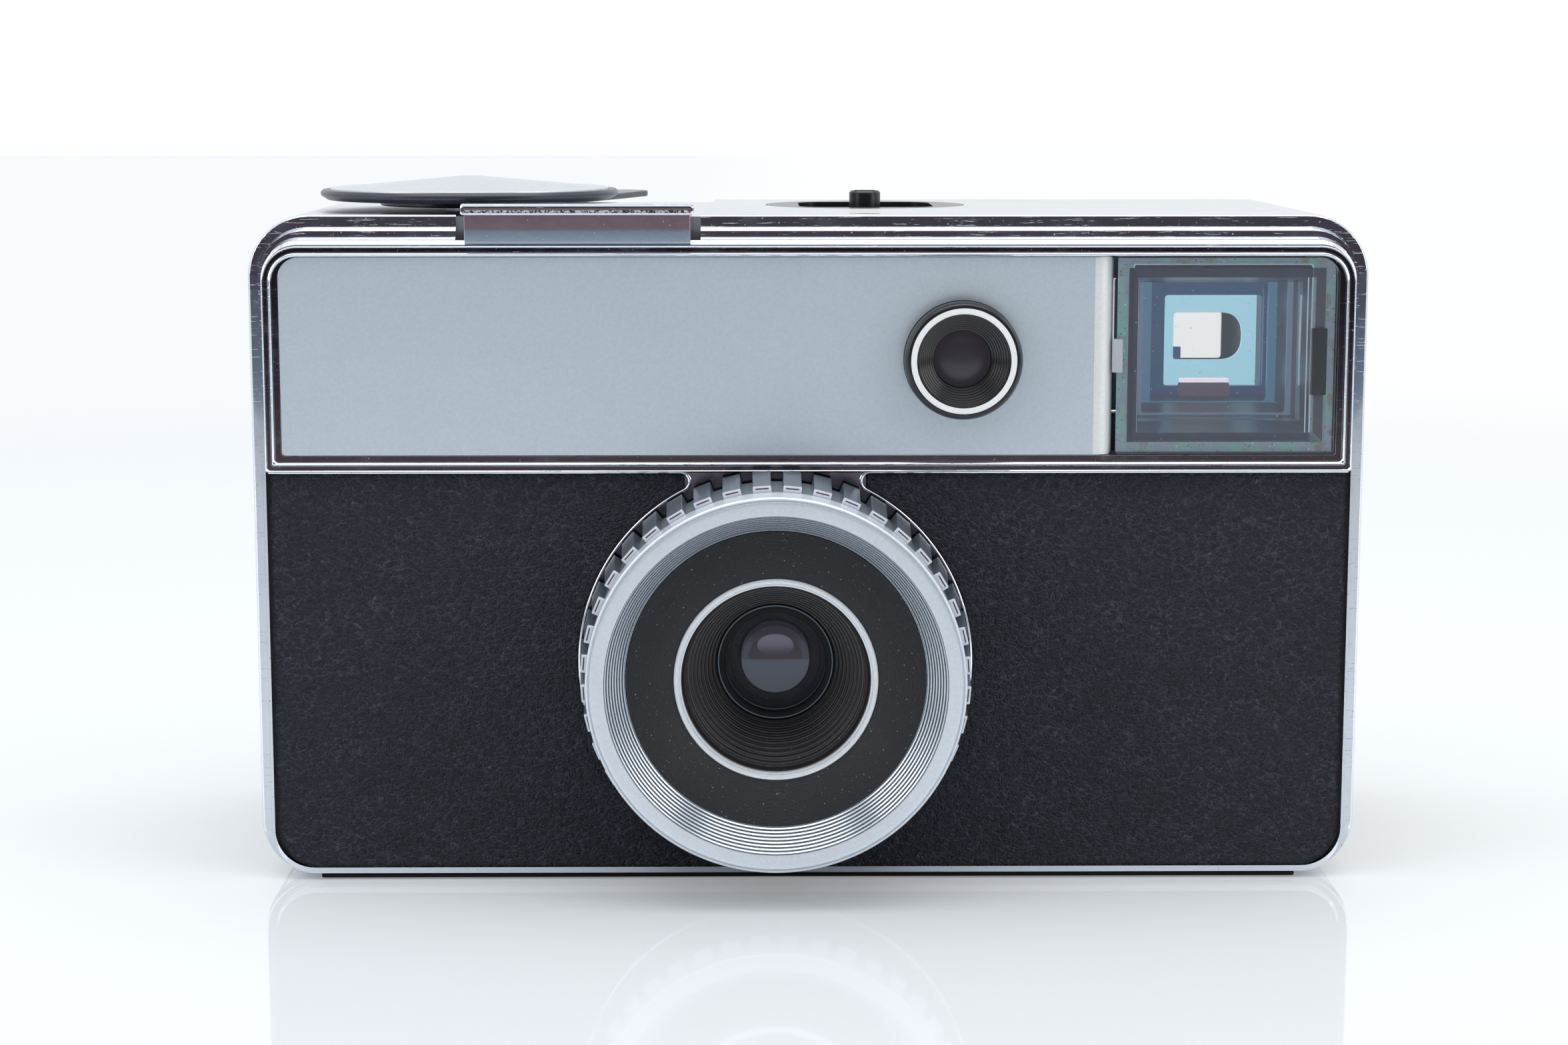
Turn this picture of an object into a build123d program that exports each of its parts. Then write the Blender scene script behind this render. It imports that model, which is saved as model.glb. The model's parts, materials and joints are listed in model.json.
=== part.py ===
"""Compact viewfinder camera for drop-in film cartridges.

Units are millimetres. +X is the right-hand side seen from the front, +Y points to the back and +Z up.
The origin is the mouth of the tripod socket, in the middle of the base.
"""

import os
from math import acos, atan2, cos, degrees, pi, radians, sin, sqrt, tan

from build123d import *

os.makedirs("parts", exist_ok=True)

# ---------------------------------------------------------------- driving dimensions

# Whole body
BODY_WIDTH = 107.0
BODY_HEIGHT = 64.65
BODY_DEPTH = 38.0
TOP_CORNER = 6.0
TOP_EDGE = 0.6
TOP_WALL = 2.45
WELL_DEPTH = 0.3
WELL_MARGIN = 1.77
BOTTOM_CORNER = 5.3
WALL = 2.0
THIN_WALL = 1.6
SEAT_GAP = 0.05
SLIDE_GAP = 0.1
FREE_GAP = 0.3

# Front face, measured back from the leather's face
SKIN = 0.8
RIM_PROUD = 0.1
RIM_DEPTH = 3.0
RIM_STEP = 0.32
RIM_STEPS = 3
RIM_SIDE = 1.45
RIM_TOP = 2.35
RIM_BOTTOM = 0.85
TRIM_PROUD = 0.55
TRIM_WIDTH = 1.55
BEAD_WIDTH = 0.55
BEAD_HEIGHT = 0.35
BEAD_EDGE = 0.15
BAND_OVERLAP = 0.51
WINDOW_WIDTH = 21.0
PLATE_PROUD = 0.15
PLATE_CORNER = 1.9
PLATE_RETURN = 1.5
PLATE_ROLL = 1.4

# Taking lens and focusing ring
LENS_X = -3.25
LENS_Z = 21.56
BASE_MARGIN = 0.68
NECK_WIDTH = 15.9
NECK_X = -3.35
EDGE_LINE = 0.35
RING_RADIUS = 17.77
RING_FACE = 12.16
RING_RIM = 1.8
GROOVE_COUNT = 7
KNURL_PROUD = 0.6
KNURL_DEPTH = 0.6
KNURL_TAPER = 0.42
KNURL_COUNT = 40
RIDGE_WIDTH = 1.75
KNURL_FRONT = 8.57
KNURL_BACK = 0.9
GROOVE_BAND = 1.84
ANNULUS_WIDTH = 4.5
ANNULUS_FACE = 8.8
BRIGHT_WIDTH = 0.7
HOOD_STEPS = 8
HOOD_LIP = 0.03
HOOD_WALL = 0.8
HOOD_GAP = 0.1
HOOD_FLANGE = 0.6
BRIGHT_SEAT = 0.6
BRIGHT_PROUD = 0.1
ANNULUS_THICK = 1.0
RING_LEDGE = 0.9
RING_EDGE = 0.5
SPIGOT_BACK = 7.0
CELL_RADIUS = 5.62
CELL_SETBACK = 0.15
GLASS_RADIUS = 4.9
GLASS_THICK = 2.4
GLASS_CURVE = 18.0
CELL_LENGTH = 4.6
CELL_EDGE = 0.3
CELL_STOP = 3.4
GUIDE_WALL = 1.1
GUIDE_FRONT = 0.6
RING_WALL = 2.57
BARREL_WALL = 1.6
BARREL_LENGTH = 6.0
BARREL_FLANGE = 1.0
RUN_GAP = 0.05

# Shutter
SHUTTER_LIP = 1.0
SHUTTER_PLATE = 1.1
SHUTTER_FACE = 6.0
BLADE_THICK = 0.35
BLADE_GAP = 0.25
SHUTTER_RIM = 1.3
BLADE_RADIUS = 4.2
BLADE_ARM = 12.0
BLADE_SPACE = 1.5
APERTURE_RADIUS = 3.2
PIVOT_RADIUS = 0.8
REAR_LENS_FRONT = 9.9
REAR_LENS_RADIUS = 4.6
REAR_LENS_THICK = 2.6
MAGNET_SIZE = 5.0
MAGNET_HEIGHT = 9.0
GATE_THICK = 0.6
GATE_BORDER = 1.5

# Viewfinder
WINDOW_BORDER = 1.3
WINDOW_TAPER = 30.0
EYEPIECE_THICK = 2.5
FINDER_MARGIN = 1.1
FINDER_WALL = 0.9
EYEPIECE_WIDTH = 13.0
EYEPIECE_HEIGHT = 10.0
FINDER_LENS = 2.5
FINDER_CURVE = 40.0
FINDER_HOLLOW = 1.2
FRONT_LENS_DEPTH = 7.0
MASK_DEPTH = 21.0
FINDER_SEAT = 0.1
MASK_BORDER = 1.6
EYE_CURVE = 30.0
EYE_HOLLOW = 0.8

# Photocell
PHOTO_INSET = 14.5
PHOTO_DROP = 0.27
PHOTO_RADIUS = 5.6
PHOTO_PROUD = 2.5
PHOTO_RING = 5.03
PHOTO_RING_WIDTH = 0.56
PHOTO_GLASS = 2.75
PHOTO_BODY = 4.6
PHOTO_EDGE = 0.5
PHOTO_SEAT = 0.3
PHOTO_STEPS = 5
PHOTO_GLASS_BACK = 1.5
PHOTO_LIP = 0.6
PHOTO_BACK = 3.2
PHOTO_DOME = 0.3
DOME_TAPER = 70.0
PHOTO_CAN = 2.0

# Release key
KEY_INSET = 20.9
KEY_WIDTH = 21.33
KEY_FLANGE = 0.35
KEY_RISE = 1.08
KEY_DROP = 2.76
KEY_SHEET = 0.6
KEY_DEPTH = 4.0
KEY_NOTCH = 0.95
KEY_ROLL = 0.4
STEM_WIDTH = 4.0
STEM_THICK = 1.1
STEM_BACK = 0.3
STEM_LENGTH = 11.65
SPRING_LENGTH = 7.0
SPRING_RADIUS = 0.75
SPRING_WIRE = 0.12
SPRING_TURNS = 9

# Winding lever
WIND_ALONG = 30.55
DISC_GAP = 0.4
DISC_REAR = 5.15
WIND_RISE = 0.85
WIND_RIM = 1.0
WIND_CROWN = 1.3
THUMB_REACH = 30.0
THUMB_ANGLE = 59.0
THUMB_THICK = 0.6
SPINDLE_RADIUS = 2.4
THUMB_HUB = 9.0
THUMB_TIP = 3.2
CAP_INSET = 0.95
CAP_TOP = 1.0

# Flash socket
FLASH_ALONG = 39.9
FLASH_ACROSS = 6.0
FLASH_RADIUS = 10.15
FLASH_RISE = 1.45
FLASH_POST = 1.6
FLASH_DEPTH = 5.0
FLASH_FLOOR = 1.1
FLASH_SHAFT = 2.4
FLASH_POCKET = 13.6
FLASH_GAP = 0.05
CONTACT_RADIUS = 4.6
CONTACT_SIZE = 2.0

# Circuit board
BOARD_WIDTH = 25.0
BOARD_MARGIN = 1.8
BOARD_CORNER = 1.0
BOARD_THICK = 1.2
BOARD_PITCH = 7.0
COMPONENT = 2.0

# Gears
GEAR_MODULE = 0.6
WIND_TEETH = 20
FILM_TEETH = 12
FLASH_TEETH = 24
IDLER_TEETH = 46
GEAR_THICK = 1.5
GEAR_PRESSURE = 25.0
TRAIN_DROP = 10.15
FILM_GEAR_RISE = 1.2
GEAR_PLATE_GAP = 1.2
GEAR_PLATE_THICK = 1.0
IDLER_POST = 1.6
PILLAR_RADIUS = 2.0
GEAR_BACKLASH = 0.12
FLANK_POINTS = 4
FILM_DRIVE_ANGLE = 33.0
COUPLER_RADIUS = 2.2
COUPLER_BORE = 1.6
DOG_HEIGHT = 2.0
DOG_WIDTH = 1.2
PLATE_MARGIN = 12.0
PLATE_FRONT = 9.0
PLATE_REAR = 16.0

# Film space and back door
FILM_WIDTH = 72.0
FILM_HEIGHT = 38.0
SPOOL_WIDTH = 20.0
SPOOL_DEPTH = 19.0
GATE_DEPTH = 5.4
GATE_SIZE = 28.0
FILM_ROOF = 1.44
DOOR_THICK = 2.1
DOOR_RIM = 2.5
CONE_SIZE = 11.0
HINGE_RADIUS = 2.25
HINGE_PIN = 0.8
KNUCKLE_COUNT = 5
LATCH_INSET = 4.4
LATCH_Z = 30.0
LATCH_HEIGHT = 16.0
LATCH_WIDTH = 6.0
LATCH_PROUD = 1.9
LATCH_STEM = 2.0
LATCH_TRAVEL = 4.0
LATCH_RIDGES = 6
KEEPER_THICK = 1.2
CATCH_THICK = 1.4
CATCH_HEIGHT = 6.0
CATCH_REACH = 5.5
DOOR_WINDOW_WIDTH = 26.0
DOOR_WINDOW_HEIGHT = 12.0
DOOR_BORDER = 1.4
SPRING_STRIP = 6.0
STRIP_LENGTH = 26.0
STRIP_BOW = 2.2
STRIP_SHEET = 0.3
RIDGE_HEIGHT = 0.4
LATCH_TAPER = 20.0

# Base, battery and tripod socket
BASE_THICK = 1.5
SOCKET_RADIUS = 6.0
SOCKET_HEIGHT = 7.0
SOCKET_FLANGE = 7.5
FLANGE_THICK = 1.0
SOCKET_BORE = 2.6
SOCKET_DEPTH = 5.5
BATTERY_Y = 1.0
BATTERY_RADIUS = 5.8
BATTERY_LENGTH = 10.8
COVER_RADIUS = 7.2
COVER_THREAD = 2.0
COIN_SLOT = 1.2
SCREW_AWAY = 9.1
SCREW_Y = 11.5
SCREW_HEAD = 1.7
SCREW_SLOT = 0.5
SCREW_RECESS = 0.2

# ---------------------------------------------------------------- derived places

FACE_Y = -BODY_DEPTH / 2
BACK_Y = BODY_DEPTH / 2
SKIN_BACK = FACE_Y + SKIN
RIM_BACK = FACE_Y - RIM_PROUD + RIM_DEPTH
HALF = BODY_WIDTH / 2
INNER_HALF = HALF - RIM_SIDE
INNER_TOP = BODY_HEIGHT - RIM_TOP

# Lens group, from the outside in
KNURL_RADIUS = RING_RADIUS + KNURL_PROUD
BASE_RADIUS = KNURL_RADIUS + BASE_MARGIN
ANNULUS_RADIUS = RING_RADIUS - RING_RIM - GROOVE_BAND
BRIGHT_RADIUS = ANNULUS_RADIUS - ANNULUS_WIDTH
HOOD_MOUTH = BRIGHT_RADIUS - BRIGHT_WIDTH - HOOD_LIP
BARREL_RADIUS = KNURL_RADIUS - KNURL_DEPTH - RING_WALL
SHUTTER_RADIUS = BARREL_RADIUS + SHUTTER_LIP
SHUTTER_Y = FACE_Y + SHUTTER_FACE
SHUTTER_BACK = SHUTTER_Y + 2 * SHUTTER_PLATE + BLADE_SPACE

# Bright band above the lens, with the name plate and the window
BAND_LOW = LENS_Z + BASE_RADIUS - BAND_OVERLAP
TRIM_CORNER = TOP_CORNER - max(RIM_SIDE, RIM_TOP)
PLATE_LEFT = -INNER_HALF + TRIM_WIDTH + 2 * SEAT_GAP
PLATE_LOW = BAND_LOW + TRIM_WIDTH + 2 * SEAT_GAP
PLATE_HIGH = INNER_TOP - TRIM_WIDTH - 2 * SEAT_GAP
WINDOW_RIGHT = INNER_HALF - TRIM_WIDTH - 2 * SEAT_GAP
WINDOW_LEFT = WINDOW_RIGHT - WINDOW_WIDTH
PLATE_RIGHT = WINDOW_LEFT - FREE_GAP
CELL_X = PLATE_RIGHT - PHOTO_INSET
CELL_Z = (PLATE_LOW + PLATE_HIGH) / 2 - PHOTO_DROP

# Viewfinder
FINDER_LEFT = WINDOW_LEFT + FINDER_MARGIN
FINDER_RIGHT = WINDOW_RIGHT - FINDER_MARGIN
FINDER_LOW = PLATE_LOW + FINDER_MARGIN
FINDER_HIGH = PLATE_HIGH - FINDER_MARGIN
FINDER_X = (FINDER_LEFT + FINDER_RIGHT) / 2
FINDER_Z = (FINDER_LOW + FINDER_HIGH) / 2
FINDER_BACK = BACK_Y - EYEPIECE_THICK
FRONT_LENS_Y = FACE_Y + FRONT_LENS_DEPTH
MASK_Y = FACE_Y + MASK_DEPTH

# Circuit board behind the photocell
BOARD_LEFT = PLATE_RIGHT - FREE_GAP - BOARD_WIDTH
BOARD_LOW = PLATE_LOW + BOARD_MARGIN
BOARD_HIGH = PLATE_HIGH - BOARD_MARGIN
BOARD_X = BOARD_LEFT + BOARD_WIDTH / 2
BOARD_Z = (BOARD_LOW + BOARD_HIGH) / 2
BOARD_Y = FACE_Y + PHOTO_BACK + PHOTO_CAN

# Release key
KEY_LEFT = -HALF + KEY_INSET
KEY_RIGHT = KEY_LEFT + KEY_WIDTH
KEY_FRONT = FACE_Y - TRIM_PROUD - SLIDE_GAP - KEY_SHEET
KEY_BACK = KEY_FRONT + KEY_DEPTH
KEY_TOP = BODY_HEIGHT + KEY_RISE
KEY_LOW = BODY_HEIGHT - KEY_DROP
STEM_X = (KEY_LEFT + KEY_RIGHT) / 2
STEM_LOW = BODY_HEIGHT - STEM_LENGTH
WELL_RIGHT = KEY_RIGHT + WELL_MARGIN

# Film space and back door
FILM_LOW = LENS_Z - FILM_HEIGHT / 2
FILM_HIGH = FILM_LOW + FILM_HEIGHT
BAND_SPLIT = FILM_HIGH + FILM_ROOF
DOOR_LOW = BASE_THICK + FREE_GAP
DOOR_TOP = BAND_SPLIT - FREE_GAP
DOOR_SEAT = BACK_Y - DOOR_THICK - DOOR_RIM
GATE_Y = DOOR_SEAT - GATE_DEPTH
POCKET_LEFT = LENS_X - SHUTTER_RADIUS - WALL
POCKET_RIGHT = LENS_X + SHUTTER_RADIUS + WALL
POCKET_LOW = FILM_LOW + WALL
POCKET_BACK = DOOR_SEAT - SPOOL_DEPTH - WALL
HINGE_X = -HALF + HINGE_RADIUS
HINGE_Y = BACK_Y - HINGE_RADIUS
HINGE_CLEAR_X = HINGE_X + HINGE_RADIUS + FREE_GAP
DOOR_RIGHT = HALF - DOOR_BORDER - BOTTOM_CORNER / 2
KNUCKLE_PITCH = (DOOR_TOP - DOOR_LOW) / KNUCKLE_COUNT
LATCH_Y = DOOR_SEAT - LATCH_INSET
CATCH_X = HALF - WALL - 3 * SLIDE_GAP - KEEPER_THICK - FREE_GAP - CATCH_THICK / 2

# Battery, in the middle of the end pocket
BATTERY_X = (LENS_X + FILM_WIDTH / 2 + HALF) / 2
BATTERY_ROOF = BASE_THICK + COVER_THREAD + BATTERY_LENGTH + 2 * WALL
SCREW_X = BATTERY_X - SCREW_AWAY
MAGNET_X = POCKET_RIGHT + WALL + MAGNET_SIZE / 2

# Winding lever, flash socket and gear train
WIND_X = LENS_X - WIND_ALONG
WIND_RADIUS = (BACK_Y - DISC_REAR - KEY_BACK - DISC_GAP) / 2
WIND_Y = KEY_BACK + DISC_GAP + WIND_RADIUS
WIND_LOW = BODY_HEIGHT + WIND_RISE
FLASH_X = WIND_X + FLASH_ALONG
FLASH_Y = WIND_Y + FLASH_ACROSS
FLASH_TOP = BODY_HEIGHT + FLASH_RISE
TRAIN_Z = BODY_HEIGHT - TRAIN_DROP
GEAR_PLATE_TOP = TRAIN_Z - GEAR_PLATE_GAP
FILM_GEAR_Z = BAND_SPLIT + FILM_GEAR_RISE
PLATE_WEST = WIND_X - PLATE_MARGIN
PLATE_EAST = FLASH_X + PLATE_MARGIN
PLATE_SOUTH = WIND_Y - PLATE_FRONT
PLATE_NORTH = WIND_Y + PLATE_REAR
GEAR_REACH = GEAR_MODULE * (WIND_TEETH + FILM_TEETH) / 2
FILM_DRIVE_X = WIND_X + GEAR_REACH * cos(radians(FILM_DRIVE_ANGLE))
FILM_DRIVE_Y = WIND_Y + GEAR_REACH * sin(radians(FILM_DRIVE_ANGLE))
WIND_TO_FLASH = sqrt(FLASH_ALONG ** 2 + FLASH_ACROSS ** 2)
WIND_TO_IDLER = GEAR_MODULE * (WIND_TEETH + IDLER_TEETH) / 2
IDLER_TO_FLASH = GEAR_MODULE * (IDLER_TEETH + FLASH_TEETH) / 2
FLASH_DIRECTION = atan2(FLASH_ACROSS, FLASH_ALONG)
IDLER_TURN = acos((WIND_TO_IDLER ** 2 + WIND_TO_FLASH ** 2 - IDLER_TO_FLASH ** 2)
                  / (2 * WIND_TO_IDLER * WIND_TO_FLASH))
IDLER_X = WIND_X + WIND_TO_IDLER * cos(FLASH_DIRECTION - IDLER_TURN)
IDLER_Y = WIND_Y + WIND_TO_IDLER * sin(FLASH_DIRECTION - IDLER_TURN)


def front_plane(y):
    """Plane seen from the front at depth y, with its own X to the right and its own Y up."""
    return Plane(origin=(0, y, 0), x_dir=(1, 0, 0), z_dir=(0, -1, 0))


def lens_plane(y):
    """Front plane at depth y, centred on the taking lens."""
    return Plane(origin=(LENS_X, y, LENS_Z), x_dir=(1, 0, 0), z_dir=(0, -1, 0))


def save(part, name):
    """Label a finished piece and write its STEP file."""
    part.label = name
    export_step(part, f"parts/{name}.step")


def body_outline(inset_side, inset_top, inset_low):
    """Rounded outline of the body as seen from the front, inset from its sides, top and bottom."""
    half = HALF - inset_side
    low = inset_low
    high = BODY_HEIGHT - inset_top
    high_corner = TOP_CORNER - max(inset_side, inset_top)
    low_corner = BOTTOM_CORNER - inset_side
    with BuildSketch() as outline:
        with BuildLine():
            Line((-half, low + low_corner), (-half, high - high_corner))
            RadiusArc((-half, high - high_corner), (-half + high_corner, high), high_corner)
            Line((-half + high_corner, high), (half - high_corner, high))
            RadiusArc((half - high_corner, high), (half, high - high_corner), high_corner)
            Line((half, high - high_corner), (half, low + low_corner))
            RadiusArc((half, low + low_corner), (half - low_corner, low), low_corner)
            Line((half - low_corner, low), (-half + low_corner, low))
            RadiusArc((-half + low_corner, low), (-half, low + low_corner), low_corner)
        make_face()
    return outline.sketch


def box_outline(left, right, low, high, corner=0.0):
    """Rectangle given by its edges, with rounded corners if a radius is given."""
    with BuildSketch() as outline:
        with Locations(((left + right) / 2, (low + high) / 2)):
            if corner > 0:
                RectangleRounded(right - left, high - low, corner)
            else:
                Rectangle(right - left, high - low)
    return outline.sketch


def band_outline(inset):
    """Outline of the bright band behind the name plate and the finder window, inset all round."""
    left = -INNER_HALF + inset
    right = INNER_HALF - inset
    corner = TRIM_CORNER - inset
    low = BAND_LOW + inset
    high = INNER_TOP - inset
    with BuildSketch() as outline:
        with BuildLine():
            Line((left, low), (left, high - corner))
            RadiusArc((left, high - corner), (left + corner, high), corner)
            Line((left + corner, high), (right - corner, high))
            RadiusArc((right - corner, high), (right, high - corner), corner)
            Line((right, high - corner), (right, low))
            Line((right, low), (left, low))
        make_face()
    return outline.sketch


def turned_outline(points):
    """Profile of a turned piece, from (radius, depth) corners behind the leather's face."""
    with BuildSketch() as outline:
        with BuildLine():
            Polyline(points, close=True)
        make_face()
    return outline.sketch


def finder_section(y, inset):
    """Section of the tapering finder tube at depth y, inset all round."""
    share = (y - SKIN_BACK) / (FINDER_BACK - SKIN_BACK)
    width = FINDER_RIGHT - FINDER_LEFT + share * (EYEPIECE_WIDTH - FINDER_RIGHT + FINDER_LEFT)
    height = FINDER_HIGH - FINDER_LOW + share * (EYEPIECE_HEIGHT - FINDER_HIGH + FINDER_LOW)
    with BuildSketch() as outline:
        with Locations((FINDER_X, FINDER_Z)):
            Rectangle(width - 2 * inset, height - 2 * inset)
    return outline.sketch


def steps(start, end, count):
    """Corners of a stair from one (radius, depth) corner to another, in equal steps."""
    corners = [start]
    for step in range(1, count + 1):
        radius = start[0] + (end[0] - start[0]) * step / count
        depth = start[1] + (end[1] - start[1]) * step / count
        corners.append((corners[-1][0], depth))
        corners.append((radius, depth))
    return corners


def involute_angle(pressure):
    """Involute function of a pressure angle in radians."""
    return tan(pressure) - pressure


def gear_outline(teeth, phase, bore):
    """Spur gear with involute flanks; phase is the direction of one tooth in degrees."""
    pitch_radius = GEAR_MODULE * teeth / 2
    base_radius = pitch_radius * cos(radians(GEAR_PRESSURE))
    tip_radius = pitch_radius + 0.8 * GEAR_MODULE
    root_radius = pitch_radius - 1.05 * GEAR_MODULE
    half_tooth = pi / (2 * teeth) - GEAR_BACKLASH / (2 * pitch_radius)
    half_base = half_tooth + involute_angle(radians(GEAR_PRESSURE))
    flank_start = max(base_radius, root_radius)
    flank = [(root_radius, half_base)] if base_radius > root_radius else []
    for point in range(FLANK_POINTS):
        radius = flank_start + (tip_radius - flank_start) * point / (FLANK_POINTS - 1)
        pressure = acos(min(1, base_radius / radius))
        flank.append((radius, half_base - involute_angle(pressure)))
    corners = []
    for tooth in range(teeth):
        middle = radians(phase) + 2 * pi * tooth / teeth
        for radius, angle in flank:
            corners.append((radius * cos(middle - angle), radius * sin(middle - angle)))
        for radius, angle in reversed(flank):
            corners.append((radius * cos(middle + angle), radius * sin(middle + angle)))
    with BuildSketch() as outline:
        with BuildLine():
            Polyline(corners, close=True)
        make_face()
        Circle(bore, mode=Mode.SUBTRACT)
    return outline.sketch


def mesh_phase(driver_teeth, driver_phase, direction, teeth):
    """Tooth direction of a gear that meshes with its driver, which lies opposite to direction."""
    driver_share = driver_teeth * (direction - driver_phase) / 360
    return direction + 180 - 360 / teeth * (0.5 - driver_share)


LENS_SECTION = Plane(origin=(LENS_X, FACE_Y, LENS_Z), x_dir=(1, 0, 0), z_dir=(0, 0, 1))
LENS_AXIS = Axis((LENS_X, 0, LENS_Z), (0, 1, 0))

# ---------------------------------------------------------------- casings and covers

# Bright rim round the front, in three small steps towards the middle
with BuildPart() as front_frame:
    for step in range(RIM_STEPS + 1):
        share = step / (RIM_STEPS + 1)
        with BuildSketch(front_plane(RIM_BACK)):
            add(body_outline(RIM_SIDE * share, RIM_TOP * share, RIM_BOTTOM * share))
            add(body_outline(RIM_SIDE, RIM_TOP, RIM_BOTTOM), mode=Mode.SUBTRACT)
        extrude(amount=RIM_DEPTH - RIM_STEP * (RIM_STEPS - step))
    with BuildSketch(front_plane(RIM_BACK)):
        add(box_outline(KEY_LEFT - KEY_NOTCH, KEY_RIGHT + KEY_NOTCH, INNER_TOP - RIM_TOP, BODY_HEIGHT))
    extrude(amount=RIM_DEPTH, mode=Mode.SUBTRACT)
save(front_frame.part, "front_frame")

# Moulded front plate that carries the leather, the name plate and the lens
with BuildPart() as front_plate:
    with BuildSketch(front_plane(RIM_BACK)):
        add(body_outline(RIM_SIDE + SEAT_GAP, RIM_TOP + SEAT_GAP, RIM_BOTTOM + SEAT_GAP))
        with Locations((LENS_X, LENS_Z)):
            Circle(BARREL_RADIUS + SEAT_GAP, mode=Mode.SUBTRACT)
        with Locations((CELL_X, CELL_Z)):
            Circle(PHOTO_BODY + SEAT_GAP, mode=Mode.SUBTRACT)
        add(box_outline(PLATE_RIGHT - PLATE_RETURN - SEAT_GAP, FINDER_RIGHT + FINDER_WALL + SEAT_GAP,
                        FINDER_LOW - FINDER_WALL - SEAT_GAP, FINDER_HIGH + FINDER_WALL + SEAT_GAP),
            mode=Mode.SUBTRACT)
    extrude(amount=RIM_BACK - SKIN_BACK)
    # Slot in the back for the stem of the release key and its spring
    with BuildSketch(front_plane(RIM_BACK)):
        add(box_outline(STEM_X - STEM_WIDTH / 2 - FREE_GAP, STEM_X + STEM_WIDTH / 2 + FREE_GAP,
                        STEM_LOW - SPRING_LENGTH, BODY_HEIGHT))
    extrude(amount=STEM_BACK + STEM_THICK + FREE_GAP, mode=Mode.SUBTRACT)
save(front_plate.part, "front_plate")

# Upper housing: lid, sides and rear wall above the film space
with BuildPart() as top_cover:
    with BuildSketch(front_plane(RIM_BACK)):
        add(body_outline(0, 0, 0))
        add(box_outline(-HALF, HALF, 0, BAND_SPLIT), mode=Mode.SUBTRACT)
    extrude(amount=RIM_BACK - BACK_Y)
    with BuildSketch(front_plane(RIM_BACK)):
        add(body_outline(THIN_WALL, TOP_WALL, THIN_WALL))
        add(box_outline(-HALF, HALF, 0, BAND_SPLIT), mode=Mode.SUBTRACT)
    extrude(amount=RIM_BACK - BACK_Y + THIN_WALL, mode=Mode.SUBTRACT)
    # Shallow well under the winding lever
    with BuildSketch(Plane.XY.offset(BODY_HEIGHT)):
        add(box_outline(-HALF, WELL_RIGHT, RIM_BACK, BACK_Y))
    extrude(amount=-WELL_DEPTH, mode=Mode.SUBTRACT)
    # Notch for the release key
    with BuildSketch(Plane.XY.offset(BODY_HEIGHT)):
        add(box_outline(KEY_LEFT - KEY_NOTCH, KEY_RIGHT + KEY_NOTCH, RIM_BACK, KEY_BACK + FREE_GAP))
    extrude(amount=-TOP_WALL, mode=Mode.SUBTRACT)
    # Bores for the spindle and the flash socket
    with Locations((WIND_X, WIND_Y, BODY_HEIGHT)):
        Hole(SPINDLE_RADIUS + SEAT_GAP, depth=TOP_WALL)
    with Locations((FLASH_X, FLASH_Y, BODY_HEIGHT)):
        Hole(FLASH_RADIUS + SEAT_GAP, depth=TOP_WALL)
    # Eyepiece opening
    with BuildSketch(front_plane(BACK_Y)):
        with Locations((FINDER_X, FINDER_Z)):
            Rectangle(EYEPIECE_WIDTH + 2 * SEAT_GAP, EYEPIECE_HEIGHT + 2 * SEAT_GAP)
    extrude(amount=THIN_WALL, mode=Mode.SUBTRACT)
    fillet(top_cover.edges().filter_by(Axis.X).group_by(Axis.Z)[-1].sort_by(Axis.Y)[-1], TOP_EDGE)
save(top_cover.part, "top_cover")

# Base plate
with BuildPart() as base_plate:
    with BuildSketch(front_plane(RIM_BACK)):
        add(body_outline(0, 0, 0))
        add(box_outline(-HALF, HALF, BASE_THICK, BODY_HEIGHT), mode=Mode.SUBTRACT)
    extrude(amount=RIM_BACK - BACK_Y)
    Hole(SOCKET_RADIUS + SEAT_GAP)
    with Locations((BATTERY_X, BATTERY_Y, 0)):
        Hole(COVER_RADIUS + SLIDE_GAP)
    with GridLocations(2 * SCREW_X, 2 * SCREW_Y, 2, 2):
        Hole(SCREW_HEAD + SEAT_GAP)
save(base_plate.part, "base_plate")

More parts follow.
